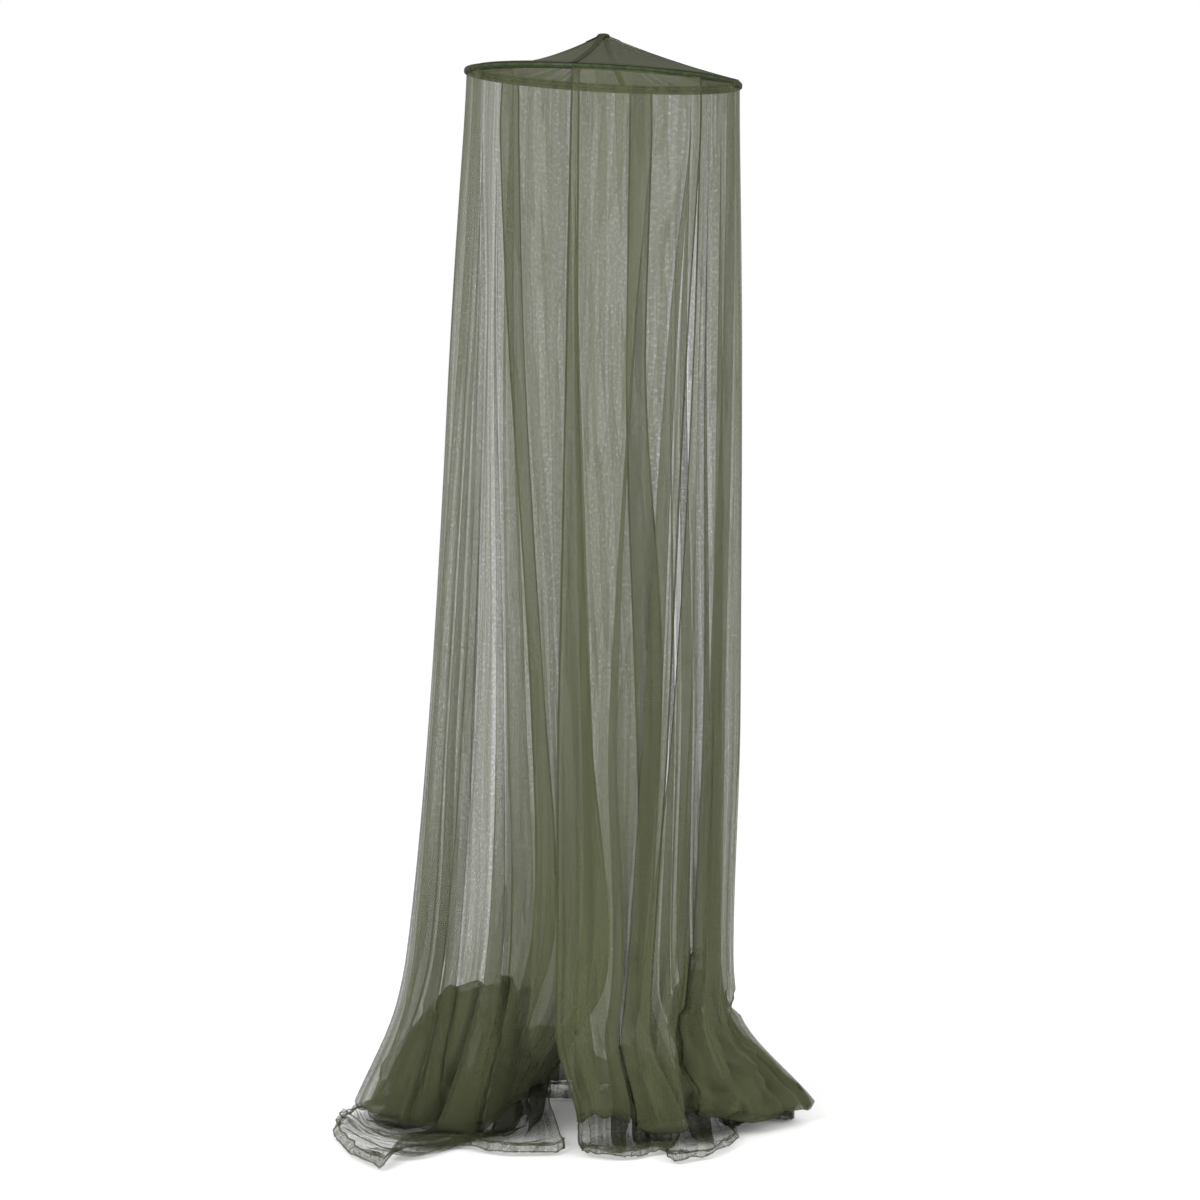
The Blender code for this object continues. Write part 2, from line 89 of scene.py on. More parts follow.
# How the panels hang, as shares of their drop and heights above the floor
SEWN_SHARE = 0.05          # the cloth leaves the line that it is sewn to within this share
WAVE_SHARE = 0.25          # its waves have their full depth after this share
LOW_START = 0.42           # from here down the bunch pushes the cloth out
PERCH_START = 0.40         # and here it starts to lift it off the floor
LOW_REACH = 0.34
BUNCH_HEIGHT = 0.35
FULL_BUNCH = 0.3

# The fine sheets
SPAN_STEPS = 4             # columns between two knots
POOL_STEPS = 7             # rows between two rows of the pooled part
HEM_REACH = 0.013          # the hem band in plan, and how high its seam stands
HEM_RISE = 0.016
HEM_TURNS = 4
SIDE_HEM = 0.0045
FOOT_BEAD = 0.0021
HEM_THICK = 0.0016

# Fine relief of the cloth: how wide and long a swell is, how far it stands out, and its seed
FLUTES = ((0.045, 1.1, 0.007, 0), (0.018, 0.5, 0.0025, 3))
CRUMPLES = ((0.060, 0.080, 0.030, 5), (0.026, 0.034, 0.014, 7))
CRUMPLE_BEND = 0.07        # the crumples wander over this length, and so far aside
CRUMPLE_DRIFT = 0.06
BEAD_LIFT = 0.0010         # the hem's beads lie on the net

# Sewing: from stitch to stitch, and the thread's radius
HEM_PITCH, HEM_THREAD = 0.0048, 0.00035
CASING_PITCH, TAPE_PITCH, FINE_THREAD = 0.0034, 0.0030, 0.0003
STITCH_SHARE = 0.68        # of the pitch

# Net and its colours (linear)
MESH_PITCH = 0.0016
RIB_PITCH, WARP_PITCH = 0.0011, 0.0009    # of the webbing
NET_COVER = {"net_left": 0.42, "net_front": 0.47, "net_right": 0.44, "net_back": 0.51}
OLIVE = (0.080, 0.089, 0.045)
DARK_OLIVE = (0.034, 0.038, 0.021)
HOOP_GREEN = (0.105, 0.235, 0.055)

# The camera stands 7.75 m in front at eye height, a long lens that looks slightly down
CAMERA_PLACE = (0.006, -7.75, -0.725)
CAMERA_PITCH = 3.81
CAMERA_LENS = 105.7
CAMERA_SHIFT = -6 / 1200

# The outline of the hanging net at each height: how far it reaches each way, and how sharply
# its two ends are creased (0 round, 1 pointed)
Section = namedtuple("Section", "height left right near far crease_left crease_right")
SECTIONS = (
    Section(2.32, -0.300, 0.300, -0.300, 0.300, 0.00, 0.00),
    Section(1.77, -0.336, 0.307, -0.312, 0.312, 0.55, 0.20),
    Section(0.95, -0.386, 0.304, -0.325, 0.330, 0.80, 0.40),
    Section(0.40, -0.439, 0.290, -0.290, 0.355, 0.80, 0.60),
    Section(0.28, -0.463, 0.300, -0.262, 0.370, 0.65, 0.70),
    Section(0.05, -0.560, 0.475, -0.190, 0.400, 0.20, 1.00),
)

# Where a fold's middle or a panel's edge lies, as angles at the five levels
Fold = namedtuple("Fold", "lap hoop upper middle lower foot wide_hoop wide_middle wide_foot")
Edge = namedtuple("Edge", "hoop upper middle lower foot")
# The pooled hem by its foot angle: height of the bunched-up fold, degrees that it leans, how far
# it tucks in, and where the hem's edge lies on the floor
Pool = namedtuple("Pool", "angle lift lean tuck hem_x hem_y")
# Where the foot of a panel swings off the outline: from which height, and how far each way
Swing = namedtuple("Swing", "angle start x y")
Panel = namedtuple("Panel", "name stand start end folds pool swing")
STILL = (Swing(-180, 0.40, 0.0, 0.0), Swing(360, 0.40, 0.0, 0.0))

PANELS = (
    Panel(
        "net_left", -0.004,
        Edge(-140.0, -149.0, -164.0, -174.0, -160.0),
        Edge(-9.5, -6.8, 2.6, 14.0, -5.0),
        (
            Fold(-1, -118, -121, -121, -126, -122, 0.004, 0.024, 0.034),
            Fold(1, -89, -90, -90, -90, -90, 0.004, 0.005, 0.010),
            Fold(-1, -66, -60, -61.5, -60, -60, 0.014, 0.110, 0.090),
            Fold(1, -61, -51, -47.3, -46, -44, 0.004, 0.030, 0.040),
            Fold(1, -49, -43, -32, -27, -33, 0.003, 0.020, 0.044),
            Fold(-1, -40, -36, -25, -17, -22, 0.006, 0.034, 0.045),
            Fold(1, -13, -10, -1.5, 9.5, -9.5, 0.005, 0.024, 0.030),
        ),
        (
            Pool(-160, 0.09, 0, 0.035, -0.219, 0.430),
            Pool(-130, 0.10, 0, 0.040, -0.460, 0.330),
            Pool(-95, 0.10, 0, 0.040, -0.575, 0.150),
            Pool(-80, 0.13, -4, 0.040, -0.598, 0.050),
            Pool(-68, 0.22, -9, 0.045, -0.588, -0.090),
            Pool(-61, 0.28, -10, 0.050, -0.556, -0.205),
            Pool(-51, 0.32, -7, 0.050, -0.472, -0.384),
            Pool(-47, 0.34, -5, 0.055, -0.442, -0.225),
            Pool(-41, 0.36, -2, 0.055, -0.373, -0.128),
            Pool(-36, 0.36, 0, 0.055, -0.325, -0.070),
            Pool(-31, 0.35, 0, 0.055, -0.273, -0.240),
            Pool(-26, 0.28, 0, 0.055, -0.250, -0.205),
            Pool(-20, 0.18, 0, 0.050, -0.211, -0.243),
            Pool(-16, 0.12, 0, 0.045, -0.180, -0.276),
            Pool(-10, 0.10, 0, 0.040, -0.113, -0.250),
            Pool(-5, 0.09, 0, 0.040, -0.084, -0.186),
        ),
        (
            Swing(-180, 0.48, 0.0, 0.0), Swing(-26, 0.48, 0.0, 0.0),
            Swing(-14, 0.48, -0.02, 0.16), Swing(-5, 0.48, -0.04, 0.40),
        ),
    ),
    Panel(
        "net_front", 0.012,
        Edge(-12.5, -11.0, -9.0, -4.0, -1.6),
        Edge(43.5, 36.0, 31.0, 29.0, 26.0),
        (
            Fold(1, 22, 14, 10, 16, 9, 0.003, 0.012, 0.020),
            Fold(-1, 39, 29, 24, 22, 15, 0.003, 0.036, 0.024),
        ),
        (
            Pool(-2, 0.08, 0, 0.035, -0.050, -0.214),
            Pool(2, 0.09, 0, 0.035, -0.017, -0.268),
            Pool(6, 0.09, 0, 0.035, 0.021, -0.278),
            Pool(12, 0.10, 0, 0.040, 0.074, -0.262),
            Pool(20, 0.10, 0, 0.035, 0.126, -0.222),
            Pool(26, 0.10, 0, 0.035, 0.150, -0.196),
        ),
        STILL,
    ),
    Panel(
        "net_right", -0.004,
        Edge(44.5, 41.0, 33.5, 26.0, 17.0),
        Edge(168.5, 167.9, 160.7, 155.0, 160.0),
        (
            Fold(-1, 50, 47.5, 51, 52, 34, 0.004, 0.026, 0.040),
            Fold(1, 68, 64, 58, 61, 52, 0.014, 0.044, 0.050),
            Fold(1, 89, 90, 90, 90, 90, 0.004, 0.005, 0.012),
            Fold(-1, 118, 120, 120, 116, 114, 0.004, 0.020, 0.040),
            Fold(1, 138, 142, 137.5, 135, 130, 0.006, 0.028, 0.040),
            Fold(1, 148, 148, 144.5, 143, 146, 0.003, 0.012, 0.030),
        ),
        (
            Pool(17, 0.09, 0, 0.040, 0.138, -0.290),
            Pool(22, 0.09, 0, 0.040, 0.150, -0.302),
            Pool(27, 0.10, 0, 0.045, 0.172, -0.312),
            Pool(33, 0.14, 0, 0.050, 0.220, -0.274),
            Pool(42, 0.22, 0, 0.050, 0.273, -0.186),
            Pool(50, 0.30, 0, 0.050, 0.296, -0.070),
            Pool(56, 0.34, 0, 0.050, 0.276, 0.060),
            Pool(64, 0.35, 0, 0.050, 0.318, 0.104),
            Pool(74, 0.27, 0, 0.035, 0.368, 0.168),
            Pool(84, 0.19, 0, 0.014, 0.420, 0.250),
            Pool(95, 0.12, 0, 0.012, 0.452, 0.330),
            Pool(130, 0.10, 0, 0.040, 0.365, 0.330),
            Pool(160, 0.09, 0, 0.035, 0.135, 0.430),
        ),
        STILL,
    ),
    Panel(
        "net_back", 0.012,
        Edge(158.5, 160.2, 150.5, 150.4, 156.0),
        Edge(229.0, 217.0, 201.0, 194.0, 204.0),
        (
            Fold(1, 192, 188, 180, 174, 180, 0.003, 0.022, 0.030),
        ),
        (
            Pool(156, 0.09, 0, 0.035, 0.182, 0.418),
            Pool(165, 0.13, 0, 0.040, 0.112, 0.450),
            Pool(173, 0.09, 0, 0.035, 0.022, 0.438),
            Pool(182, 0.12, 0, 0.045, -0.058, 0.456),
            Pool(193, 0.16, 0, 0.040, -0.160, 0.440),
            Pool(204, 0.10, 0, 0.035, -0.262, 0.412),
        ),
        STILL,
    ),
)

# The pooled cloth from its first turn to the foot of the bunch. Each row lies in from the outline
# by so many tucks and bunch widths plus a reach, at so many break heights and lifts plus a rise;
# its layers lie this far outwards and upwards, and stay this far folded
Turn = namedtuple("Turn", "tucks puffs reach breaks lifts rise out up folded")
TURNS = (
    Turn(0.0, 0.0, -0.008, 1.0, 0.0, -0.016, 0.7, -0.7, 1.0),
    Turn(0.6, 0.0, 0.000, 1.0, 0.0, -0.016, -0.5, -0.85, 1.0),
    Turn(1.0, 0.0, 0.000, 1.0, 0.0, 0.012, -1.0, 0.0, 1.0),
    Turn(1.0, 0.0, 0.000, 0.5, 0.5, 0.000, -1.0, 0.0, 1.0),
    Turn(1.0, 0.0, -0.002, 0.0, 1.0, -0.014, -1.0, 0.0, 0.9),
    Turn(1.0, 0.5, 0.000, 0.0, 1.0, 0.000, 0.0, -1.0, 0.9),
    Turn(1.0, 1.0, 0.000, 0.0, 1.0, -0.018, 1.0, 0.0, 0.9),
    Turn(1.0, 1.0, -0.004, 0.0, 0.3, 0.012, 1.0, 0.0, 0.8),
    Turn(1.0, 1.0, 0.010, 0.0, 0.0, FLOOR_RUN + 0.004, 0.7, 0.7, 0.7),
)
# The cloth on the floor: share of the way to the hem, and how far its layers stay folded
Run = namedtuple("Run", "share folded")
RUNS = (Run(0.4, 0.5), Run(0.72, 0.25), Run(1.0, 0.1))

# The bunched cloth falls in broad folds that lean: degrees from one fold to the next, degrees that
# a fold leans over the height of the bunch, and how far the folds stand out
LOBE_STEP = 12.0           # degrees from one rounded lobe of the hem to the next, and their depth
LOBE_DEPTH = 0.018
BROAD_STEP = 17.0
BROAD_LEAN = 4.0
BROAD_DEPTH = 0.016
WALL_DEPTH = 0.008

# Main creases of the bunched cloth: a path of angles and heights, how wide the
# crease is, and how far it stands out (ridge) or in (trough)
Crease = namedtuple("Crease", "path wide deep")
CREASES = (
    Crease(((-36, 0.36), (-38, 0.26), (-40, 0.15), (-42, 0.03)), 0.022, -0.036),
    Crease(((-23, 0.38), (-24, 0.24), (-26, 0.14), (-30, 0.03)), 0.020, -0.036),
    Crease(((-16, 0.36), (-18, 0.26), (-21, 0.15), (-27, 0.03)), 0.024, -0.040),
    Crease(((-49, 0.28), (-44, 0.17), (-40, 0.08), (-39, 0.03)), 0.010, 0.014),
    Crease(((-69, 0.27), (-66, 0.19), (-62, 0.12), (-57, 0.04)), 0.020, -0.026),
    Crease(((-58, 0.28), (-54, 0.17), (-51, 0.08), (-50, 0.03)), 0.014, -0.018),
    Crease(((-30, 0.30), (-33, 0.18), (-36, 0.08), (-37, 0.03)), 0.012, 0.012),
    Crease(((-75, 0.15), (-68, 0.12), (-62, 0.08)), 0.016, 0.018),
    Crease(((41, 0.42), (35, 0.27), (29, 0.18), (20, 0.08)), 0.010, 0.014),
    Crease(((59, 0.42), (55, 0.27), (40, 0.15), (30, 0.03)), 0.020, -0.032),
    Crease(((52, 0.28), (43, 0.15), (50, 0.11), (60, 0.13), (70, 0.24)), 0.018, -0.030),
    Crease(((38, 0.12), (50, 0.09), (62, 0.13), (84, 0.17)), 0.020, 0.024),
    Crease(((32, 0.03), (48, 0.045), (66, 0.07), (84, 0.10)), 0.014, -0.022),
    Crease(((92, 0.30), (84, 0.20), (86, 0.10)), 0.018, -0.024),
    Crease(((68, 0.36), (74, 0.24), (82, 0.17)), 0.016, -0.020),
    Crease(((4.5, 0.44), (4, 0.30), (2, 0.15), (0, 0.04)), 0.010, -0.010),
    Crease(((11, 0.44), (11, 0.30), (9, 0.16), (7, 0.06)), 0.010, 0.010),
    Crease(((23, 0.44), (23, 0.30), (19, 0.16), (16, 0.06)), 0.016, -0.018),
    Crease(((128, 0.26), (121, 0.14), (118, 0.03)), 0.022, -0.024),
    Crease(((176, 0.20), (170, 0.10), (168, 0.03)), 0.018, -0.018),
    Crease(((212, 0.24), (219, 0.12), (222, 0.03)), 0.022, -0.022),
    Crease(((246, 0.24), (250, 0.13), (256, 0.03)), 0.020, -0.022),
)

# Where the bunch hangs clear of the floor, so that the hem shows under it: foot angles and heights
PERCHES = {
    "net_left": ((-160, -30, -24, -20, -14, -5), (0.0, 0.0, 0.01, 0.035, 0.045, 0.03)),
    "net_front": ((-2, 2, 8, 12, 16, 20), (0.03, 0.045, 0.05, 0.03, 0.005, 0.0)),
    "net_right": ((22, 29, 38, 48, 60, 160), (0.015, 0.03, 0.02, 0.0, 0.0, 0.0)),
    "net_back": ((150, 200), (0.0, 0.0)),
}

# The open stretches between the folds hang in waves, steeper lower down
FLUTE_WIDTH = 0.046
FLUTE_STEPS = 16
FLUTE_PRESS = 0.30         # how flat the waves are pressed
FULL_HEIGHTS = (0.05, 0.40, 0.95, 1.40, 1.77, 2.32)
FULL_SWINGS = (1.55, 1.45, 1.35, 1.25, 1.05, 0.60)
# and how much denser their fine gathers make the net
FULL_GATHERS = (1.10, 1.20, 0.60, 0.38, 0.32, 0.42)
# where a fold laps over, the gathers lie flatter
LAP_GATHERS = {"net_left": 0.42, "net_front": 0.60, "net_right": 0.58, "net_back": 0.60}

# Places where the cloth hangs open, as angles at the five levels, half as wide as given
Lull = namedtuple("Lull", "hoop upper middle lower foot half calm low")
LULLS = (
    Lull(-55, -46, -38, -38, -38, 4, 0.9, 0.3),
    Lull(-66, -60, -61, -60, -60, 14, 0.75, 0.3),
    Lull(-134, -131, -141, -141, -141, 5, 1.0, 0.7),
    Lull(-80, -80, -82, -84, -84, 9, 0.9, 0.9),
    Lull(-100, -100, -100, -100, -100, 9, 0.9, 0.9),
    Lull(58, 60, 72, 72, 72, 10, 0.7, 0.2),
    Lull(82, 82, 82, 82, 82, 9, 0.9, 0.0),
    Lull(100, 100, 100, 100, 100, 9, 0.9, 0.0),
)

# A fold's six knots: side of the fold, layer (1 lies outermost when the lap is 1)
FOLD_PATH = ((-1, 1), (1, 1), (1, 0), (-1, 0), (-1, -1), (1, -1))
DROPS = np.concatenate([np.linspace(0, 0.06, 8), np.linspace(0.07, 1.0, 104)])   # rows of the hanging part


# ---------------------------------------------------------------- places

def smooth(value):
    """0 below 0, 1 above 1, with a soft start and end."""
    value = np.clip(value, 0.0, 1.0)
    return value * value * (3.0 - 2.0 * value)


def hermite(t, first, last, leaving, arriving):
    """A smooth way from one value to the next, with the slopes at its two ends."""
    return ((1 + 2 * t) * (1 - t) ** 2 * first + t * t * (3 - 2 * t) * last
            + t * (1 - t) ** 2 * leaving + t * t * (t - 1) * arriving)


def along(value, stops, values):
    """Read a table softly: it passes through each stop without overshoot."""
    stops = np.asarray(stops, float)
    values = np.asarray(values, float)
    if stops[0] > stops[-1]:
        stops, values = stops[::-1], values[::-1]
    steps = np.diff(values) / np.diff(stops)
    slopes = np.zeros(len(stops))
    same_way = steps[1:] * steps[:-1] > 0
    slopes[1:-1] = np.where(same_way, 2 * steps[1:] * steps[:-1] / (steps[1:] + steps[:-1] + 1e-12), 0)
    slopes[0], slopes[-1] = steps[0], steps[-1]
    value = np.clip(value, stops[0], stops[-1])
    cell = np.clip(np.searchsorted(stops, value) - 1, 0, len(steps) - 1)
    size = stops[cell + 1] - stops[cell]
    t = (value - stops[cell]) / size
    return hermite(t, values[cell], values[cell + 1], size * slopes[cell], size * slopes[cell + 1])


def scatter(x, y, seed):
    """A repeatable number from 0 to 1 for each whole x and y."""
    value = np.sin(x * 127.1 + y * 311.7 + seed * 74.7) * 43758.5453
    return value - np.floor(value)


def noise(x, y, seed):
    """Soft noise from 0 to 1 with one swell about each unit."""
    cell_x, cell_y = np.floor(x), np.floor(y)
    part_x, part_y = smooth(x - cell_x), smooth(y - cell_y)
    low = scatter(cell_x, cell_y, seed) * (1 - part_x) + scatter(cell_x + 1, cell_y, seed) * part_x
    high = scatter(cell_x, cell_y + 1, seed) * (1 - part_x) + scatter(cell_x + 1, cell_y + 1, seed) * part_x
    return low * (1 - part_y) + high * part_y


def read(rows, key, value, *names):
    """Some columns of a table, read softly at a value of its key column."""
    stops = [getattr(row, key) for row in rows]
    return [along(value, stops, [getattr(row, name) for row in rows]) for name in names]


def apart(angle, other):
    """Degrees from one angle to another, the short way round."""
    return (angle - other + 180.0) % 360.0 - 180.0


def unit(vectors):
    return vectors / (np.linalg.norm(vectors, axis=-1, keepdims=True) + 1e-12)


def on_hoop(angle, radius, rise):
    """A point by its angle, its distance from the hoop's axis and its rise over the hoop."""
    turn = np.radians(angle)
    x, y = radius * np.sin(turn), -radius * np.cos(turn)
    tilt = math.radians(HOOP_TILT)
    return np.stack([
        x * math.cos(tilt) + rise * math.sin(tilt),
        y + 0.0 * x,
        -HOOP_DROP - x * math.sin(tilt) + rise * math.cos(tilt),
    ], axis=-1)


def section_at(height):
    """The outline's four ends and two creases at a height."""
    return read(SECTIONS, "height", height, *Section._fields[1:])


def outline(angle, height):
    """The hanging net's outline: place and outward direction in plan."""
    left, right, near, far, crease_left, crease_right = section_at(height)
    half_x, half_y = (right - left) / 2, (far - near) / 2
    turn = np.radians(angle)
    crease = np.where(np.sin(turn) < 0, crease_left, crease_right)
    deep = np.cos(turn) * np.abs(np.cos(turn)) ** crease
    place = np.stack([(left + right) / 2 + half_x * np.sin(turn), (near + far) / 2 - half_y * deep], -1)
    return place, unit(np.stack([np.sin(turn) / half_x, -np.cos(turn) / half_y], -1))


# ---------------------------------------------------------------- net panels

def edge_angle(edge, height):
    return along(height, LEVELS, [getattr(edge, level) for level in Edge._fields])


def fold_knots(fold, height):
    """Angles and layers of one fold's knots at one height, and the share that is folded."""
    centre = edge_angle(fold, height)
    widths = (fold.wide_hoop, fold.wide_middle, fold.wide_foot)
    wide = along(height, (LEVELS[0], LEVELS[2], LEVELS[4]), widths)
    folded = smooth(wide / OPEN_WIDTH)
    half = np.degrees(wide / 2 / HOOP_RADIUS)
    half_open = np.degrees(OPEN_WIDTH / 2 / HOOP_RADIUS)
    spread = np.linspace(-1, 1, len(FOLD_PATH))
    angles = [centre + folded * side * half + (1 - folded) * open_at * half_open
              for (side, _), open_at in zip(FOLD_PATH, spread)]
    layers = [folded * layer * fold.lap for _, layer in FOLD_PATH]
    return angles, layers, float(folded)


def flute_shape(swing):
    """One wave of hanging cloth whose flanks turn by up to this angle: its way across and out."""
    turn = np.linspace(0.0, 2 * math.pi, 8 * FLUTE_STEPS + 1)
    heading = swing * np.sin(turn)
    gain = turn[1] / 2
    across = np.concatenate([[0], np.cumsum(np.cos(heading[1:]) + np.cos(heading[:-1])) * gain])
    out = np.concatenate([[0], np.cumsum(np.sin(heading[1:]) + np.sin(heading[:-1])) * gain])
    return across[::8] / across[-1], out[::8] / across[-1]


SWINGS = np.linspace(0.0, 2.2, 45)
SHAPES = [flute_shape(swing) for swing in SWINGS]


def calm(angle, height):
    """How much the folds stay open at a place: less than 1 where the photo shows single cloth."""
    open_share = 1.0
    for lull in LULLS:
        away = abs(apart(angle, edge_angle(lull, height)))
        strength = along(height, (0.05, 0.40, 1.20), (lull.low, (lull.low + lull.calm) / 2, lull.calm))
        open_share *= 1 - strength * (1 - smooth((away - lull.half) / 6.0))
    return open_share


def gathered(angles, laps, lap_share, height, seed):
    """How much denser than one flat layer the finely gathered cloth is."""
    share = along(height, FULL_HEIGHTS, FULL_GATHERS)
    dense = 1 + share * calm(angles, height) * (0.75 + 0.5 * noise(angles / 4.0, height * 0.8, seed))
    return dense * (1 - (1 - lap_share) * laps)


def flutes_between(first, last, height, count, seed):
    """Angles and depths of the waves in one stretch of cloth between two folds."""
    share = np.array([0.55 + scatter(index, seed, 1.0) for index in range(count)])
    ends = np.concatenate([[0.0], np.cumsum(share)]) / share.sum()
    swell = along(height, FULL_HEIGHTS, FULL_SWINGS)
    angles, depths = [], []
    for index in range(count):
        start = first + (last - first) * ends[index]
        reach = (last - first) * (ends[index + 1] - ends[index])
        drift = noise(height * 1.3 + index * 3.7, seed * 1.9, 4.0)
        swing = swell * (0.70 + 0.4 * scatter(index, seed, 2.0)) * (0.85 + 0.3 * drift)
        swing = min(swing, SWINGS[-1]) * calm(start + reach / 2, height)
        place = np.clip(swing / SWINGS[1], 0, len(SWINGS) - 1.001)
        low = int(place)
        part = place - low
        across = SHAPES[low][0] * (1 - part) + SHAPES[low + 1][0] * part
        out = SHAPES[low][1] * (1 - part) + SHAPES[low + 1][1] * part
        angles += list(start + reach * across[:-1])
        depths += list(-out[:-1] * math.radians(reach) * HOOP_RADIUS * FLUTE_PRESS)
    return angles, depths


def panel_knots(panel, height):
    """One panel's section at one height: angle, layer and depth of each knot, and where it laps."""
    stops = [([edge_angle(panel.start, height)], [0.0], 0.0)]
    stops += [fold_knots(fold, height) for fold in panel.folds]
    stops += [([edge_angle(panel.end, height)], [0.0], 0.0)]
    middle = [panel.start.middle] + [fold.middle for fold in panel.folds] + [panel.end.middle]
    wide = [0.0] + [fold.wide_middle for fold in panel.folds] + [0.0]
    angles, layers, depths, laps = [], [], [], []
    for index, (stop_angles, stop_layers, folded) in enumerate(stops):
        angles += stop_angles
        layers += stop_layers
        depths += [0.0] * len(stop_angles)
        laps += [folded] * len(stop_angles)
        if index + 1 == len(stops):
            break
        room = math.radians(middle[index + 1] - middle[index]) * 0.33 - (wide[index] + wide[index + 1]) / 2
        count = max(1, round(room / FLUTE_WIDTH))
        first, last = stop_angles[-1], stops[index + 1][0][0]
        seed = panel.stand * 900 + index * 7.3 + panel.start.hoop
        more, depth = flutes_between(first, last, height, count, seed)
        angles += more[1:]
        depths += depth[1:]
        reach = np.linspace(0, 1, len(more) + 1)[1:-1]
        layers += list(stop_layers[-1] * (1 - reach) + stops[index + 1][1][0] * reach)
        laps += [0.0] * len(reach)
    return np.array(angles), np.array(layers), np.array(depths), np.array(laps)


def swung(panel, foot_angles, heights):
    """How far a panel's columns swing off the outline at their heights."""
    start, x, y = read(panel.swing, "angle", foot_angles, "start", "x", "y")
    share = np.clip((start - heights) / (start - BREAK_HEIGHT), 0.0, 1.0) ** 1.3
    return np.column_stack([x * share, y * share])


def leaning(foot_angles, height):
    """Where the broad folds, which lean, stand at a height."""
    return foot_angles + BROAD_LEAN * (0.5 - height / BUNCH_HEIGHT)


def hanging_rows(panel, seed):
    """The hanging part, from the sleeve down to the break, as rows of points."""
    rows = []
    top = HANG_HEIGHT - HOOP_DROP + SEAM_RISE
    foot_angles = panel_knots(panel, BREAK_HEIGHT)[0]
    lift = read(panel.pool, "angle", foot_angles, "lift")[0]
    for drop in DROPS:
        height = top + (BREAK_HEIGHT - top) * drop
        angles, layers, waves, _ = panel_knots(panel, height)
        settle = smooth(drop / SEWN_SHARE)
        stand = panel.stand * settle + math.copysign(SEAM_STAND, panel.stand) * (1 - settle)
        low = smooth((LOW_START - height) / LOW_REACH) * smooth(lift / FULL_BUNCH)
        stand = stand + layers * FOLD_GAP + waves * smooth(drop / WAVE_SHARE)
        stand = stand + broad_fold(leaning(foot_angles, height), seed + 5) * WALL_DEPTH * low
        place, out = outline(angles, height)
        flat = place + out * stand[:, None] + swung(panel, foot_angles, height)
        raised = along(foot_angles, *PERCHES[panel.name]) * smooth((PERCH_START - height) / LOW_REACH)
        hung = np.column_stack([flat, height - HANG_HEIGHT + raised])
        sewn = on_hoop(angles, HOOP_RADIUS + stand, SEAM_RISE)
        hung[:, 2] += (1 - drop) * (sewn[:, 2] + HANG_HEIGHT - top)
        rows.append(hung * settle + sewn * (1 - settle))
    return rows


def knots_at(panel, heights):
    """Angle of each knot, every knot at a height of its own."""
    levels = np.linspace(BREAK_HEIGHT, 0.42, 20)
    table = np.array([panel_knots(panel, level)[0] for level in levels])
    return np.array([np.interp(height, levels, table[:, index]) for index, height in enumerate(heights)])


def broad_fold(angle, seed):
    """Rounded ridges with sharp valleys between them, -1 to 1, at a place round the net."""
    place = angle / BROAD_STEP + noise(angle / 23.0, seed * 0.37, seed) * 1.6
    strength = 0.6 + 0.8 * noise(angle / 14.0, seed * 1.3, seed + 2)
    return (np.abs(np.sin(place * math.pi)) ** 0.8 - 0.6) * strength


def pool_rows(panel, seed):
    """The pooled part: the cloth turns up into a bunch, comes down and runs out as the hem."""
    foot_angles, layers, waves, _ = panel_knots(panel, BREAK_HEIGHT)
    lift, lean, tuck = read(panel.pool, "angle", foot_angles, "lift", "lean", "tuck")
    uneven = 0.14 + 0.5 * (1 - smooth((lift - 0.10) / 0.12))
    lift = lift * (1 + uneven * (noise(foot_angles / 4.0, 0.5, seed) - 0.5))
    perch = along(foot_angles, *PERCHES[panel.name]) * (0.7 + 0.6 * noise(foot_angles / 2.5, 0.3, seed + 23))
    rows = []
    for turn in TURNS:
        reach = turn.reach - turn.tucks * tuck - turn.puffs * PUFF_THICK
        height = turn.rise + turn.breaks * BREAK_HEIGHT + turn.lifts * lift
        wall_height = np.maximum(height, BREAK_HEIGHT)
        leaned = knots_at(panel, wall_height) + lean * turn.lifts
        place, out = outline(leaned, wall_height)
        place = place + swung(panel, foot_angles, wall_height)
        layer = layers * FOLD_GAP * turn.folded
        stands = smooth((lift - 0.08) / 0.2) * smooth(turn.tucks)
        depth = BROAD_DEPTH * stands + WALL_DEPTH * (1 - stands) * smooth(lift / 0.2)
        broad = broad_fold(leaning(foot_angles, height), seed) * depth
        offset = panel.stand + reach + (layer + waves * 0.7) * turn.out + broad
        flat = place + out * offset[:, None]
        raised = perch * min(1.0, turn.breaks + turn.lifts)
        rows.append(np.column_stack([flat, height - HANG_HEIGHT + layer * turn.up + raised]))
    # along the floor to the hem, where the folds open out
    walked = np.concatenate([[0.0], np.cumsum(np.linalg.norm(np.diff(flat, axis=0), axis=1))])
    opened = foot_angles[0] + (foot_angles[-1] - foot_angles[0]) * walked / walked[-1]
    for run in RUNS:
        shared = foot_angles * (1 - run.share) + opened * run.share
        hem = np.column_stack(read(panel.pool, "angle", shared, "hem_x", "hem_y"))
        wander = 3 * noise(shared / 20.0, 0.2, seed)
        lobes = (np.abs(np.sin(shared / LOBE_STEP * math.pi + wander)) ** 0.7 - 0.6) * LOBE_DEPTH
        ahead = unit(hem - flat)
        hem = hem + ahead * lobes[:, None]
        level = FLOOR_RUN - HANG_HEIGHT + layers * FOLD_GAP * run.folded
        rows.append(np.column_stack([flat * (1 - run.share) + hem * run.share, level]))
    # the hem band rises from its edge on the floor to its seam
    seam = rows[-1].copy()
    seam[:, :2] -= ahead * HEM_REACH
    seam[:, 2] += HEM_RISE * (0.6 + 0.8 * noise(foot_angles / 3.0, 0.7, seed + 17))
    rows.insert(-1, seam)
    return rows


# ---------------------------------------------------------------- smooth sheets

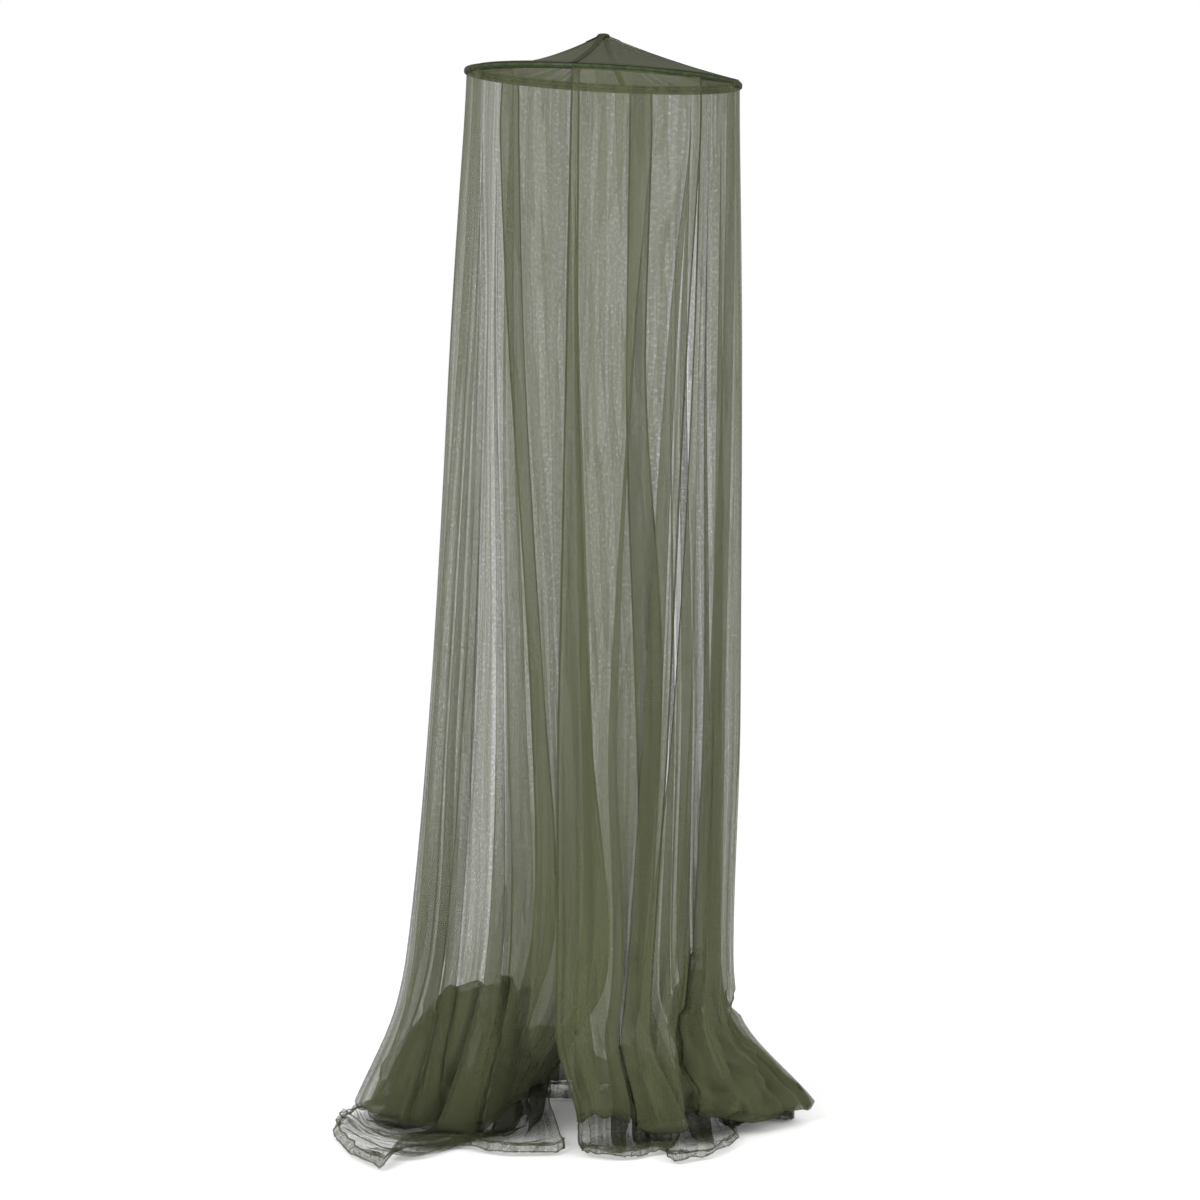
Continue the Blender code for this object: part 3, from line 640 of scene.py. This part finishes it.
def spline(points, steps, axis):
    """Carry a smooth curve through the points along one axis, with so many steps in each span."""
    points = np.moveaxis(points, axis, 0)
    chord = np.linalg.norm(np.diff(points, axis=0), axis=-1) ** 0.5 + 1e-5
    slope = np.diff(points, axis=0) / chord[..., None]
    ease = chord[1:] / (chord[1:] + chord[:-1])
    middle = slope[:-1] * ease[..., None] + slope[1:] * (1 - ease)[..., None]
    tangent = np.concatenate([slope[:1], middle, slope[-1:]])
    lines = []
    for span in range(len(points) - 1):
        reach = chord[span][..., None]
        leaving, arriving = reach * tangent[span], reach * tangent[span + 1]
        for step in range(steps[span]):
            lines.append(hermite(step / steps[span], points[span], points[span + 1], leaving, arriving))
    lines.append(points[-1])
    return np.moveaxis(np.array(lines), 0, axis)


def normals_of(grid):
    """Directions square to a grid of points, from its rows and columns."""
    return unit(np.cross(np.gradient(grid, axis=0), np.gradient(grid, axis=1)))


def travelled(grid, axis):
    """Length walked along one axis of a grid, the mean over the other."""
    steps = np.linalg.norm(np.diff(grid, axis=axis), axis=2).mean(axis=1 - axis)
    return np.concatenate([[0.0], np.cumsum(steps)])


def hem_rows(rows):
    """The hem's cloth, turned back over itself at the end of the rows."""
    edge, before = rows[-1], rows[-2]
    back = before - edge
    turned = []
    for share, rise in ((-0.04, 0.0008), (0.25, 0.0017), (0.97, 0.0019), (0.85, 0.0026)):
        line = edge + back * share
        line[:, 2] += rise
        turned.append(line)
    return turned


def fine_grid(panel, seed):
    """All points of a panel's sheet, how dense they are, and how far each row is into the pool."""
    hanging = np.array(hanging_rows(panel, seed))
    top = HANG_HEIGHT - HOOP_DROP + SEAM_RISE
    dense = []
    for drop in DROPS:
        height = top + (BREAK_HEIGHT - top) * drop
        angles, _, _, laps = panel_knots(panel, height)
        dense.append(gathered(angles, laps, LAP_GATHERS[panel.name], height, seed))
    pooled = pool_rows(panel, seed)
    pooled = np.array(pooled + hem_rows(pooled))
    tail = spline(np.concatenate([hanging[-2:], pooled]), [1] + [POOL_STEPS] * len(pooled), 0)
    knots = np.concatenate([hanging[:-2], tail])
    middle = knots[len(hanging) // 2]
    lengths = np.linalg.norm(np.diff(middle, axis=0), axis=1)
    depths = np.abs(panel_knots(panel, LEVELS[2])[2])
    steps = [1 if depths[span] + depths[span + 1] > 0 else SPAN_STEPS for span in range(len(lengths))]
    grid = spline(knots, steps, 1)
    into = np.clip((np.arange(len(grid)) - len(hanging)) / (len(grid) - len(hanging)), 0, 1)
    stops = np.concatenate([[0], np.cumsum(steps)])
    dense = np.array([np.interp(np.arange(stops[-1] + 1), stops, row) for row in dense])
    lower = into[len(dense):, None]
    turned = smooth(lower * 4.0)
    bunched = 1.2 - 0.74 * smooth((lower - 0.5) * 8.0)
    lying = dense[-1] * (1 - turned) + bunched * turned
    return grid, into, np.concatenate([dense, lying])


def hand_creased(grid):
    """Push the main creases into the lower part of a sheet."""
    height = grid[:, :, 2] + HANG_HEIGHT
    left, right, near, far = section_at(height)[:4]
    half_x, half_y = (right - left) / 2, (far - near) / 2
    across = (grid[:, :, 0] - (left + right) / 2) / half_x
    ahead = -(grid[:, :, 1] - (near + far) / 2) / half_y
    turn = np.arctan2(across, ahead)
    angle = np.degrees(turn)
    shift = np.zeros(height.shape)
    low = height < 0.5
    for line in CREASES:
        path = spline(np.array(line.path, float), [8] * (len(line.path) - 1), 0)
        away = np.full(low.sum(), 9.0)
        for stop, level in path:
            around = np.radians(apart(angle[low], stop)) * 0.34
            away = np.minimum(away, np.hypot(around, height[low] - level))
        shift[low] += line.deep * np.clip(1 - away / line.wide, 0, 1) ** 1.4
    shift = shift * smooth((height - 0.012) / 0.03)
    out = unit(np.stack([np.sin(turn) / half_x, -np.cos(turn) / half_y, np.zeros(turn.shape)], -1))
    return grid + out * shift[:, :, None]


def crease(grid, into, seed):
    """Let the cloth hang in soft flutes and crumple where it lies."""
    across = travelled(grid[len(grid) // 3:len(grid) // 2], 1)
    down = travelled(grid, 0)
    x, y = np.meshgrid(across, down)
    low = smooth(y / 0.5)
    pooled = smooth(into * 2.5)[:, None]
    flutes = sum((noise(x / wide, y / long, seed + more) - 0.5) * deep for wide, long, deep, more in FLUTES)
    bend_x, bend_y = (
        line + (noise(x / CRUMPLE_BEND, y / CRUMPLE_BEND, seed + more) - 0.5) * CRUMPLE_DRIFT
        for line, more in ((x, 11), (y, 13)))
    crumple = sum((np.abs(noise(bend_x / wide, bend_y / long, seed + more) - 0.5) - 0.25) * deep
                  for wide, long, deep, more in CRUMPLES)
    level = grid[:, :, 2] + HANG_HEIGHT
    room = np.clip((level - 0.004) / 0.030, 0.0, 1.0)
    shift = (flutes * low * (1 - pooled) + crumple * pooled) * room
    moved = grid + normals_of(grid) * shift[:, :, None]
    moved[:, :, 2] += (crumple + 0.008) * 0.6 * pooled * (1 - room)
    moved[:, :, 2] = np.maximum(moved[:, :, 2], 0.0022 - HANG_HEIGHT)
    return moved, x, y


def mesh_piece(name, grid, u, v, finishes, closed=True, capped=False, marks=None):
    """A smooth mesh on a grid of points that rides on the part, closed round its rows."""
    rows, columns = grid.shape[:2]
    faces = grid_faces(rows, columns, closed)
    if capped:
        faces.append(list(range(columns)))
        faces.append(list(reversed(range((rows - 1) * columns, rows * columns))))
    mesh = bpy.data.meshes.new(name)
    mesh.from_pydata(grid.reshape(-1, 3).tolist(), [], faces)
    mesh.shade_smooth()
    layer = mesh.uv_layers.new(name="cloth")
    corners = np.empty(len(mesh.loops), int)
    mesh.loops.foreach_get("vertex_index", corners)
    uv = np.column_stack([u.ravel(), v.ravel()])
    layer.data.foreach_set("uv", uv[corners].astype(np.float32).ravel())
    for mark, values in (marks or {}).items():
        attribute = mesh.attributes.new(mark, "FLOAT", "POINT")
        attribute.data.foreach_set("value", values.astype(np.float32))
    for finish in finishes:
        mesh.materials.append(finish)
    piece = bpy.data.objects.new(name, mesh)
    bpy.context.collection.objects.link(piece)
    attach(piece, "root")
    return piece


def turn_out(piece, merge=False):
    """Turn a closed piece's faces outwards, after its double points are merged."""
    shell = bmesh.new()
    shell.from_mesh(piece.data)
    if merge:
        bmesh.ops.remove_doubles(shell, verts=shell.verts, dist=1e-6)
    bmesh.ops.recalc_face_normals(shell, faces=shell.faces)
    shell.to_mesh(piece.data)
    shell.free()


def grid_faces(rows, columns, closed=False):
    spans = columns if closed else columns - 1
    row, place = np.meshgrid(np.arange(rows - 1), np.arange(spans), indexing="ij")
    a = row * columns + place
    b = row * columns + (place + 1) % columns
    return np.stack([a, a + columns, b + columns, b], -1).reshape(-1, 4).tolist()


def net_panel(panel, finish, creased, seed):
    """One panel's sheet, and its points."""
    grid, into, dense = fine_grid(panel, seed)
    grid, x, y = crease(hand_creased(grid), into, seed)
    columns = grid.shape[1]
    marks = {"pooled": np.repeat(into, columns), "gathers": dense.ravel()}
    piece = mesh_piece(panel.name + "_sheet", grid, x, y, [finish, creased], closed=False, marks=marks)
    lies = np.repeat(into[1:] > 0.0, columns - 1).astype(np.int32)
    piece.data.polygons.foreach_set("material_index", lies)
    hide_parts(panel.name)
    return piece, grid


def rolled_hem(name, edge, inward, width, finish):
    """A rolled hem: a flat tube of net that follows an edge of a panel."""
    inward = unit(inward)
    face = unit(np.cross(np.gradient(edge, axis=0), inward))
    points = np.stack([
        edge + inward * (width / 2 + width / 2 * math.cos(turn)) + face * HEM_THICK / 2 * math.sin(turn)
        for turn in np.arange(8) * math.pi / 4], 1)
    u, v = np.meshgrid(np.linspace(0, width * 2, points.shape[1]), travelled(points, 0))
    piece = mesh_piece(name, points, u, v, [finish], capped=True)
    turn_out(piece)
    return piece


def panel_hems(name, grid, finish, thread):
    """The rolled side edges, the hem's edge on the floor and the seam that holds it."""
    foot = len(grid) - 1 - HEM_TURNS * POOL_STEPS
    rise = np.array([0.0, 0.0, BEAD_LIFT])
    sewn = [sewn_line(grid[:, 0], grid[:, 2]), sewn_line(grid[:, -1], grid[:, -3]), grid[-1] + rise * 2]
    return [
        rolled_hem(name + "_hem_a", grid[:, 0], grid[:, 2] - grid[:, 0], SIDE_HEM, finish),
        rolled_hem(name + "_hem_b", grid[:, -1], grid[:, -3] - grid[:, -1], SIDE_HEM, finish),
        rolled_hem(name + "_hem_edge", grid[foot] + rise, grid[foot - 3] - grid[foot], FOOT_BEAD, finish),
        rolled_hem(name + "_hem_seam", grid[-1] + rise, grid[-1] - grid[-3], FOOT_BEAD, finish),
        stitches(name + "_stitches", sewn, HEM_PITCH, HEM_THREAD, thread),
    ]


def sewn_line(edge, inside):
    """The line of stitches along the inner side of a rolled hem."""
    return edge + unit(inside - edge) * SIDE_HEM * 0.92


# ---------------------------------------------------------------- nodes and stitches

def add_node(tree, kind, settings, values, named):
    """Add a node: its type, its settings, then the values or links of its sockets, in turn or by name."""
    made = tree.nodes.new(kind)
    for name, value in settings.items():
        setattr(made, name, value)
    pairs = list(zip(made.inputs, values))
    pairs += [(made.inputs[name.replace("_", " ")], value) for name, value in named.items()]
    for socket, value in pairs:
        if isinstance(value, bpy.types.NodeSocket):
            tree.links.new(value, socket)
        elif value is not None:
            socket.default_value = value
    return made.outputs


def stitch_nodes():
    """Geometry nodes that set a run of stitches along a path."""
    group = bpy.data.node_groups.new("stitches", "GeometryNodeTree")
    for name, kind in (("Path", "Geometry"), ("Pitch", "Float"), ("Length", "Float"), ("Thread", "Float"),
                       ("Seed", "Int"), ("Finish", "Material")):
        group.interface.new_socket(name, in_out="INPUT", socket_type="NodeSocket" + kind)
    group.interface.new_socket("Stitches", in_out="OUTPUT", socket_type="NodeSocketGeometry")

    def node(kind, settings=None, **named):
        return add_node(group, kind, settings or {}, (), named)

    given = node("NodeGroupInput")
    curve = node("GeometryNodeMeshToCurve", Mesh=given["Path"])[0]
    spaced = node("GeometryNodeResampleCurve", {"mode": "LENGTH"}, Curve=curve, Length=given["Pitch"])[0]
    thread = node("GeometryNodeMeshCylinder",
                  Vertices=6, Radius=given["Thread"], Depth=given["Length"])["Mesh"]
    heading = node("GeometryNodeInputTangent")[0]
    turned = node("FunctionNodeAlignRotationToVector", {"axis": "Z"}, Vector=heading)[0]
    uneven = node("FunctionNodeRandomValue", {"data_type": "FLOAT_VECTOR"},
                  Min=(0.9, 0.9, 0.85), Max=(1.1, 1.1, 1.1), Seed=given["Seed"])[0]
    placed = node("GeometryNodeInstanceOnPoints",
                  Points=spaced, Instance=thread, Rotation=turned, Scale=uneven)[0]
    real = node("GeometryNodeRealizeInstances", Geometry=placed)[0]
    dressed = node("GeometryNodeSetMaterial", Geometry=real, Material=given["Finish"])[0]
    node("NodeGroupOutput", Stitches=dressed)
    return group


def stitches(name, paths, pitch, thread, finish, closed=False):
    """Runs of stitches along paths of points, as one piece."""
    points, edges = [], []
    for path in paths:
        first = len(points)
        points += [tuple(point) for point in path]
        edges += [(first + step, first + step + 1) for step in range(len(path) - 1)]
        if closed:
            edges.append((len(points) - 1, first))
    mesh = bpy.data.meshes.new(name + "_path")
    mesh.from_pydata(points, edges, [])
    piece = bpy.data.objects.new(name, mesh)
    bpy.context.collection.objects.link(piece)
    sewing = piece.modifiers.new("sewing", "NODES")
    sewing.node_group = SEWING
    given = {"Pitch": pitch, "Length": pitch * STITCH_SHARE, "Thread": thread, "Seed": 7, "Finish": finish}
    for socket in SEWING.interface.items_tree:
        if socket.item_type == "SOCKET" and socket.name in given:
            sewing[socket.identifier] = given[socket.name]
    sewn = piece.evaluated_get(bpy.context.evaluated_depsgraph_get())
    made = bpy.data.meshes.new_from_object(sewn)
    piece.modifiers.remove(sewing)
    piece.data = made
    made.shade_smooth()
    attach(piece, "root")
    return piece


def rim_line(radius_out, rise):
    """A closed line round the hoop."""
    return on_hoop(np.arange(240) * 1.5, HOOP_RADIUS + radius_out, rise)


# ---------------------------------------------------------------- finishes

def operator(operation, reflected=False):
    """One of Python's operators for a wire and a number or another wire."""
    def work_out(wire, other):
        values = (other, wire) if reflected else (wire, other)
        return wire.sum(operation, *values)
    return work_out


class Wire:
    """One number in a material. Sums on it add the nodes that work them out."""

    def __init__(self, finish, socket):
        self.finish = finish
        self.socket = socket

    def sum(self, operation, *values):
        return self.finish.node("Math", {"operation": operation}, *values)[0]

    __add__ = __radd__ = operator("ADD")
    __mul__ = __rmul__ = operator("MULTIPLY")
    __sub__ = operator("SUBTRACT")
    __rsub__ = operator("SUBTRACT", reflected=True)
    __truediv__ = operator("DIVIDE")
    __pow__ = operator("POWER")

    def sine(self):
        return self.sum("SINE", self)

    def size(self):
        return self.sum("ABSOLUTE", self)

    def held(self, low=0.0, high=1.0):
        return self.sum("MINIMUM", self.sum("MAXIMUM", self, low), high)

    def step(self, start, end):
        """0 at start, 1 at end, soft between."""
        settings = {"interpolation_type": "SMOOTHSTEP"}
        return self.finish.node("MapRange", settings, self, start, end, 0.0, 1.0)[0]


def shade(colour, share):
    """The colour, darker or lighter."""
    return tuple(part * share for part in colour)


def plain(value):
    return value.socket if isinstance(value, Wire) else value


class Finish:
    """A material under construction on one Principled shader."""

    def __init__(self, name, **constants):
        self.material = bpy.data.materials.new(name)
        self.material.use_nodes = True
        self.tree = self.material.node_tree
        self.shader = self.tree.nodes["Principled BSDF"]
        for socket, value in constants.items():
            self.shader.inputs[socket.replace("_", " ")].default_value = value

    def node(self, kind, settings, *values, **named):
        """Add a shader node, and wrap its outputs."""
        values = [plain(value) for value in values]
        named = {name: plain(value) for name, value in named.items()}
        made = add_node(self.tree, "ShaderNode" + kind, settings, values, named)
        return [Wire(self, output) for output in made]

    def noise(self, place, scale, detail=1.0, dimensions="2D"):
        """Soft noise, as a number and as a vector."""
        settings = {"noise_dimensions": dimensions}
        return self.node("TexNoise", settings, Vector=place, Scale=scale, Detail=detail)

    def set(self, **links):
        for name, wire in links.items():
            self.tree.links.new(wire.socket, self.shader.inputs[name.replace("_", " ")])

    def mix(self, share, first, second):
        """A colour between two colours, which are the Mix node's last two inputs."""
        ends = [(*end, 1.0) if isinstance(end, tuple) else end for end in (first, second)]
        return self.node("Mix", {"data_type": "RGBA"}, share, *[None] * 5, *ends)[2]

    def bump(self, height, depth, strength):
        self.set(Normal=self.node("Bump", {}, Strength=strength, Distance=depth, Height=height)[0])


def net_finish(name, cover, colour=OLIVE, gathers=False, creased=False):
    """Sheer net: threads round fine holes, denser where it is gathered, with creases where it lies, and
    painted shade on its creases, laps and fold lines there.
    """
    finish = Finish(name, Roughness=0.7, Specular_IOR_Level=0.08)
    place = finish.node("UVMap", {"uv_map": "cloth"})[0]
    across, down, _ = finish.node("SeparateXYZ", {}, place)
    holes = (across * (math.pi / MESH_PITCH)).sine().size()
    holes = holes * (down * (math.pi / MESH_PITCH / 1.15)).sine().size()
    long_place = finish.node("Mapping", {}, Vector=place, Scale=(1.0, 0.035, 1.0))[0]
    streaks = finish.noise(long_place, 260.0)[0]
    broad = finish.noise(long_place, 45.0)[0]
    short_place = finish.node("Mapping", {}, Vector=place, Scale=(1.0, 0.6, 1.0))[0]
    specks = finish.noise(short_place, 230.0, 0.0)[0]
    gather = finish.node("Attribute", {"attribute_name": "gathers"})[2] if gathers else 1.0
    # how much of the net is open: less in streaks and on the lines of fine folds
    open_share = (1 - cover) * (1 + (streaks - 0.5) * 0.14 + (broad - 0.5) * 0.18)
    fold_lines = 1 - ((broad - 0.5).size() * 48.0).held()
    lapped = broad.step(0.500, 0.512)
    open_share = open_share - fold_lines * 0.16
    speckle = 0.94 + specks.step(0.58, 0.72) * 0.26 + (holes - 0.45) * 0.08
    tone = finish.mix((broad - 0.5) * 0.8 + 0.5, shade(colour, 0.88), shade(colour, 1.14))
    if creased:
        pooled = finish.node("Attribute", {"attribute_name": "pooled"})[2]
        bent = finish.noise(place, 22.0, 2.0)[1]
        crinkled = finish.node("VectorMath", {"operation": "SCALE"}, bent, Scale=0.05)[0]
        crinkled = finish.node("VectorMath", {"operation": "ADD"}, crinkled, place)[0]
        cells = {"voronoi_dimensions": "2D", "feature": "DISTANCE_TO_EDGE"}
        cracks = finish.node("TexVoronoi", cells, Vector=crinkled, Scale=24.0)[0]
        # crease lines: the net is denser on them, and their colour is darkened as painted shade in the
        # creases
        lines = (1 - cracks.step(0.0, 0.045)) * pooled.step(0.3, 0.7) * broad.step(0.25, 0.5)
        open_share = open_share - lines * 0.42
        tone = finish.mix(lines * 0.5, tone, shade(colour, 0.6))
        # painted shade: the lying cloth's colour is darkened on its laps and fold lines
        shaded = (lapped * 0.45 + fold_lines * 0.4).held() * pooled.step(0.0, 0.1)
        tone = finish.mix(shaded, tone, shade(colour, 0.55))
        relief = cracks.step(0.0, 0.15) * pooled
    # the gathers and a slanting look make it denser
    facing = finish.node("LayerWeight", {}, Blend=0.5)[1]
    gather = gather * (0.86 + lapped * (0.44 if creased else 0.30))
    grazing = facing ** 2.2 * (0.6 if creased else 0.85)
    open_share = open_share.held(0.05, 0.97) ** (gather / (1 - grazing)) * speckle
    finish.set(Alpha=1 - open_share, Base_Color=tone)
    if creased:
        finish.bump(relief, 0.0012, 0.3)
    return finish.material


def thread_finish(name, colour):
    """Twisted sewing thread."""
    finish = Finish(name, Roughness=0.6, Specular_IOR_Level=0.2)
    twist = finish.noise(finish.node("TexCoord", {})[3], 1600.0, dimensions="3D")[0]
    finish.set(Base_Color=finish.mix(twist, shade(colour, 0.7), shade(colour, 1.3)))
    return finish.material


def webbing_finish(name):
    """Matt woven tape with ribs across it."""
    finish = Finish(name, Roughness=0.9, Specular_IOR_Level=0.05)
    place = finish.node("UVMap", {"uv_map": "cloth"})[0]
    across, down, _ = finish.node("SeparateXYZ", {}, place)
    ribs = (down * (math.pi / RIB_PITCH)).sine().size()
    warp = (across * (math.pi / WARP_PITCH)).sine().size()
    weave = ribs * 0.6 + warp * 0.4
    worn = finish.noise(place, 180.0, 3.0)[0]
    tone = finish.mix(weave, shade(DARK_OLIVE, 0.62), shade(DARK_OLIVE, 1.35))
    finish.set(Base_Color=finish.mix(worn * 0.35, tone, shade(DARK_OLIVE, 1.6)))
    finish.bump(weave, 0.0004, 0.6)
    return finish.material


def hoop_finish(name):
    """Smooth green plastic with faint scuffs."""
    finish = Finish(name, Roughness=0.2, Specular_IOR_Level=0.6, Coat_Weight=0.6, Coat_Roughness=0.08)
    scuffs = finish.noise(finish.node("TexCoord", {})[3], 90.0, 4.0, "3D")[0]
    finish.set(Base_Color=finish.mix(scuffs.step(0.35, 0.7), HOOP_GREEN, shade(HOOP_GREEN, 1.25)))
    finish.set(Roughness=0.14 + scuffs * 0.14)
    finish.bump(scuffs, 0.0002, 0.25)
    return finish.material


# ---------------------------------------------------------------- roof, hoop and tapes

def off_tape(angle):
    """Degrees from an angle to the nearest tape."""
    return np.min([np.abs(apart(angle, tape)) for tape in TAPE_ANGLES.values()], axis=0)


def roof_height(angle, radius):
    """Height of the roof net's middle at an angle and a distance from the axis."""
    share = (radius - ROOF_INNER) / (HOOP_RADIUS - ROOF_INNER)
    rim = on_hoop(angle, HOOP_RADIUS, SLEEVE_TOP + SEAT_GAP + ROOF_THICK / 2)[..., 2]
    sag = ROOF_SAG * np.sin(np.radians(np.clip(off_tape(angle) * 2, 0, 90))) ** 2
    sag = sag + TAPE_SAG + SLACK * np.clip(-np.sin(np.radians(angle)), 0, 1) ** 2
    return ROOF_START + (rim - ROOF_START) * share - 4 * sag * share * (1 - share)


def roof_sheet(finish):
    """The roof's net, gathered a little between the tapes."""
    angles = np.arange(RING_STEPS) * 360.0 / RING_STEPS
    turn = np.radians(angles)
    loose = smooth(off_tape(angles) / 9.0 - 0.4) * np.sin(turn * 41 + np.sin(turn * 7) * 2)
    rows = []
    for radius in np.linspace(ROOF_INNER, HOOP_RADIUS - 0.001, 56):
        gather = ROOF_GATHER * loose * smooth(1 - np.abs(radius / HOOP_RADIUS - 0.35) * 2.2)
        height = roof_height(angles, radius) + gather
        rows.append(np.column_stack([radius * np.sin(turn), -radius * np.cos(turn), height]))
    u, v = np.meshgrid(turn * 0.2, np.linspace(0, 0.3, len(rows)))
    piece = mesh_piece("roof_net_sheet", np.array(rows), u, v, [finish])
    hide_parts("roof_net")
    return piece


def ring_piece(name, profile, steps, finishes, closed=True):
    """A profile (distance from the hoop's radius, rise) carried round the hoop."""
    angles = np.arange(steps) * 360.0 / steps
    lines = [on_hoop(angles, HOOP_RADIUS + away, rise) for away, rise in profile]
    if closed:
        lines.append(lines[0])
    grid = np.array(lines)
    u, v = np.meshgrid(np.radians(angles) * HOOP_RADIUS, travelled(grid, 0))
    piece = mesh_piece(name, grid, u, v, finishes)
    turn_out(piece, merge=True)
    return piece


def hoop_rod(finish):
    """The hoop: a round rod."""
    turns = np.arange(14) * math.pi / 7
    profile = [(ROD_RADIUS * math.cos(turn), ROD_RADIUS * math.sin(turn)) for turn in turns]
    piece = ring_piece("hoop_rod", profile, 240, [finish])
    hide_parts("hoop")
    return piece


def casing(finish, thin):
    """Net folded round the hoop: a loose tube that hangs from a flat doubled band on the roof."""
    turns = np.radians(np.arange(-30, 331, 24))
    tube = [(CASING_WIDE * math.sin(turn), CASING_MIDDLE + CASING_HALF * math.cos(turn)) for turn in turns]
    piece = ring_piece("casing", CASING_BAND + tube, RING_STEPS, [finish, thin], closed=False)
    for face in piece.data.polygons:
        face.material_index = int(np.hypot(face.center.x, face.center.y) > HOOP_RADIUS - 0.0044)
    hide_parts("hoop_sleeve")
    return piece


def tape(name, angle, finish, thread):
    """Webbing from the crown to the hoop, doubled over at the crown."""
    turn = math.radians(angle)
    out = np.array([math.sin(turn), -math.cos(turn)])
    aside = np.array([math.cos(turn), math.sin(turn)])
    first = CROWN_RADIUS - 0.008
    doubled = first + TAPE_END
    radii = np.concatenate([np.linspace(first, doubled, 12), np.linspace(doubled + 0.0015, HOOP_RADIUS, 60)])
    rows = []
    for radius in radii:
        thick = TAPE_THICK * (2.0 if radius <= doubled else 1.0)
        wobble = 0.0004 * math.sin(radius * 90 + angle)
        base = float(np.max(roof_height(np.array([angle - 1.0, angle, angle + 1.0]), radius))) + SEAT_GAP
        rows.append([(*(out * radius + aside * (side * TAPE_WIDTH + wobble)), base + thick * rise)
                     for side, rise in TAPE_SECTION])
    grid = np.array(rows)
    u, v = np.meshgrid(np.linspace(0, 2 * TAPE_WIDTH, len(TAPE_SECTION)), radii)
    piece = mesh_piece(name + "_webbing", grid, u, v, [finish], capped=True)
    turn_out(piece)
    piece.data.set_sharp_from_angle(angle=math.radians(50))
    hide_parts(name)
    left, right = (grid[:, place] + np.array([0.0, 0.0, 0.0001]) for place in TAPE_TOP)
    lines = [left[2:] * share + right[2:] * (1 - share) for share in (0.93, 0.07)]
    lines.append(np.array([left[12] * share + right[12] * (1 - share) for share in (0.9, 0.5, 0.1)]))
    stitches(name + "_stitches", lines, TAPE_PITCH, FINE_THREAD, thread)
    return piece


def crown(finish):
    """The gathered patch at the hanging point."""
    turn = np.arange(CROWN_STEPS) * 2 * math.pi / CROWN_STEPS
    rows = []
    for radius, height in CROWN_PROFILE:
        pleated = radius - 0.0006 * np.abs(np.sin(turn * 9)) * smooth((radius - 0.008) / 0.006)
        flat = [pleated * np.sin(turn), -pleated * np.cos(turn)]
        rows.append(np.column_stack([*flat, np.full(CROWN_STEPS, height)]))
    grid = np.array(rows)
    u, v = np.meshgrid(turn * 0.012, travelled(grid, 0))
    piece = mesh_piece("crown_webbing", grid, u, v, [finish])
    turn_out(piece, merge=True)
    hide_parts("crown_patch")
    return piece


# ---------------------------------------------------------------- studio

def floor():
    reach = 90.0
    corners = [(x * reach, y * reach, -HANG_HEIGHT) for x, y in ((-1, -1), (1, -1), (1, 1), (-1, 1))]
    mesh = bpy.data.meshes.new("floor")
    mesh.from_pydata(corners, [], [(0, 1, 2, 3)])
    plane = bpy.data.objects.new("floor", mesh)
    bpy.context.collection.objects.link(plane)
    finish = Finish("pale_floor", Roughness=0.9, Base_Color=(0.93, 0.93, 0.93, 1.0), Specular_IOR_Level=0.0,
                    Emission_Color=(1.0, 1.0, 1.0, 1.0), Emission_Strength=0.07)
    mesh.materials.append(finish.material)


def light(name, place, target, size, power):
    lamp = bpy.data.lights.new(name, "AREA")
    lamp.size = size
    lamp.energy = power
    thing = bpy.data.objects.new(name, lamp)
    thing.location = place
    thing.rotation_euler = (Vector(target) - Vector(place)).to_track_quat("-Z", "Y").to_euler()
    bpy.context.collection.objects.link(thing)


def studio():
    floor()
    world = bpy.data.worlds.new("white_room")
    world.use_nodes = True
    background = world.node_tree.nodes["Background"]
    background.inputs["Color"].default_value = (1.0, 1.0, 1.0, 1.0)
    background.inputs["Strength"].default_value = 1.0
    bpy.context.scene.world = world
    light("key", (-3.2, -4.2, 1.6), (0, 0, -1.3), 2.6, 190.0)
    light("fill", (3.5, -3.0, 0.4), (0, 0, -1.4), 2.6, 70.0)
    lens = bpy.data.cameras.new("camera")
    lens.sensor_width = 36.0
    lens.lens = CAMERA_LENS
    lens.shift_x = CAMERA_SHIFT
    camera = bpy.data.objects.new("camera", lens)
    camera.location = CAMERA_PLACE
    camera.rotation_euler = (math.radians(90.0 - CAMERA_PITCH), 0.0, 0.0)
    bpy.context.collection.objects.link(camera)
    bpy.context.scene.camera = camera
    bpy.context.scene.view_settings.view_transform = "Standard"
    bpy.context.scene.cycles.transparent_max_bounces = 96


# ---------------------------------------------------------------- the canopy

roof = net_finish("roof_net", 0.68, shade(OLIVE, 0.56))
hem_net = net_finish("hem_net", 0.52, shade(OLIVE, 0.8))
casing_net = net_finish("casing_net", 0.90, shade(OLIVE, 0.40))
casing_thin = net_finish("casing_thin_net", 0.64, shade(OLIVE, 0.34))
webbing = webbing_finish("dark_webbing")
thread = thread_finish("olive_thread", shade(OLIVE, 0.8))
SEWING = stitch_nodes()

hoop_rod(hoop_finish("green_plastic"))
casing(casing_net, casing_thin)
rims = [rim_line(away, CASING_MIDDLE - 0.0034) for away in (0.0039, -0.0039)]
stitches("casing_stitches", rims, CASING_PITCH, FINE_THREAD, thread, closed=True)
roof_sheet(roof)
for name, angle in TAPE_ANGLES.items():
    tape(name, angle, webbing, thread)
crown(webbing)

for seed, panel in enumerate(PANELS):
    cover = NET_COVER[panel.name]
    hanging_net = net_finish(panel.name + "_hanging", cover, gathers=True)
    # the lying net's colour is darkened to 0.8 of the olive as painted shade inside the pile
    lying_net_shaded = net_finish(panel.name + "_lying_shaded", cover, shade(OLIVE, 0.80), gathers=True, creased=True)
    piece, grid = net_panel(panel, hanging_net, lying_net_shaded, seed * 11 + 2)
    hems = panel_hems(panel.name, grid, hem_net, thread)

studio()
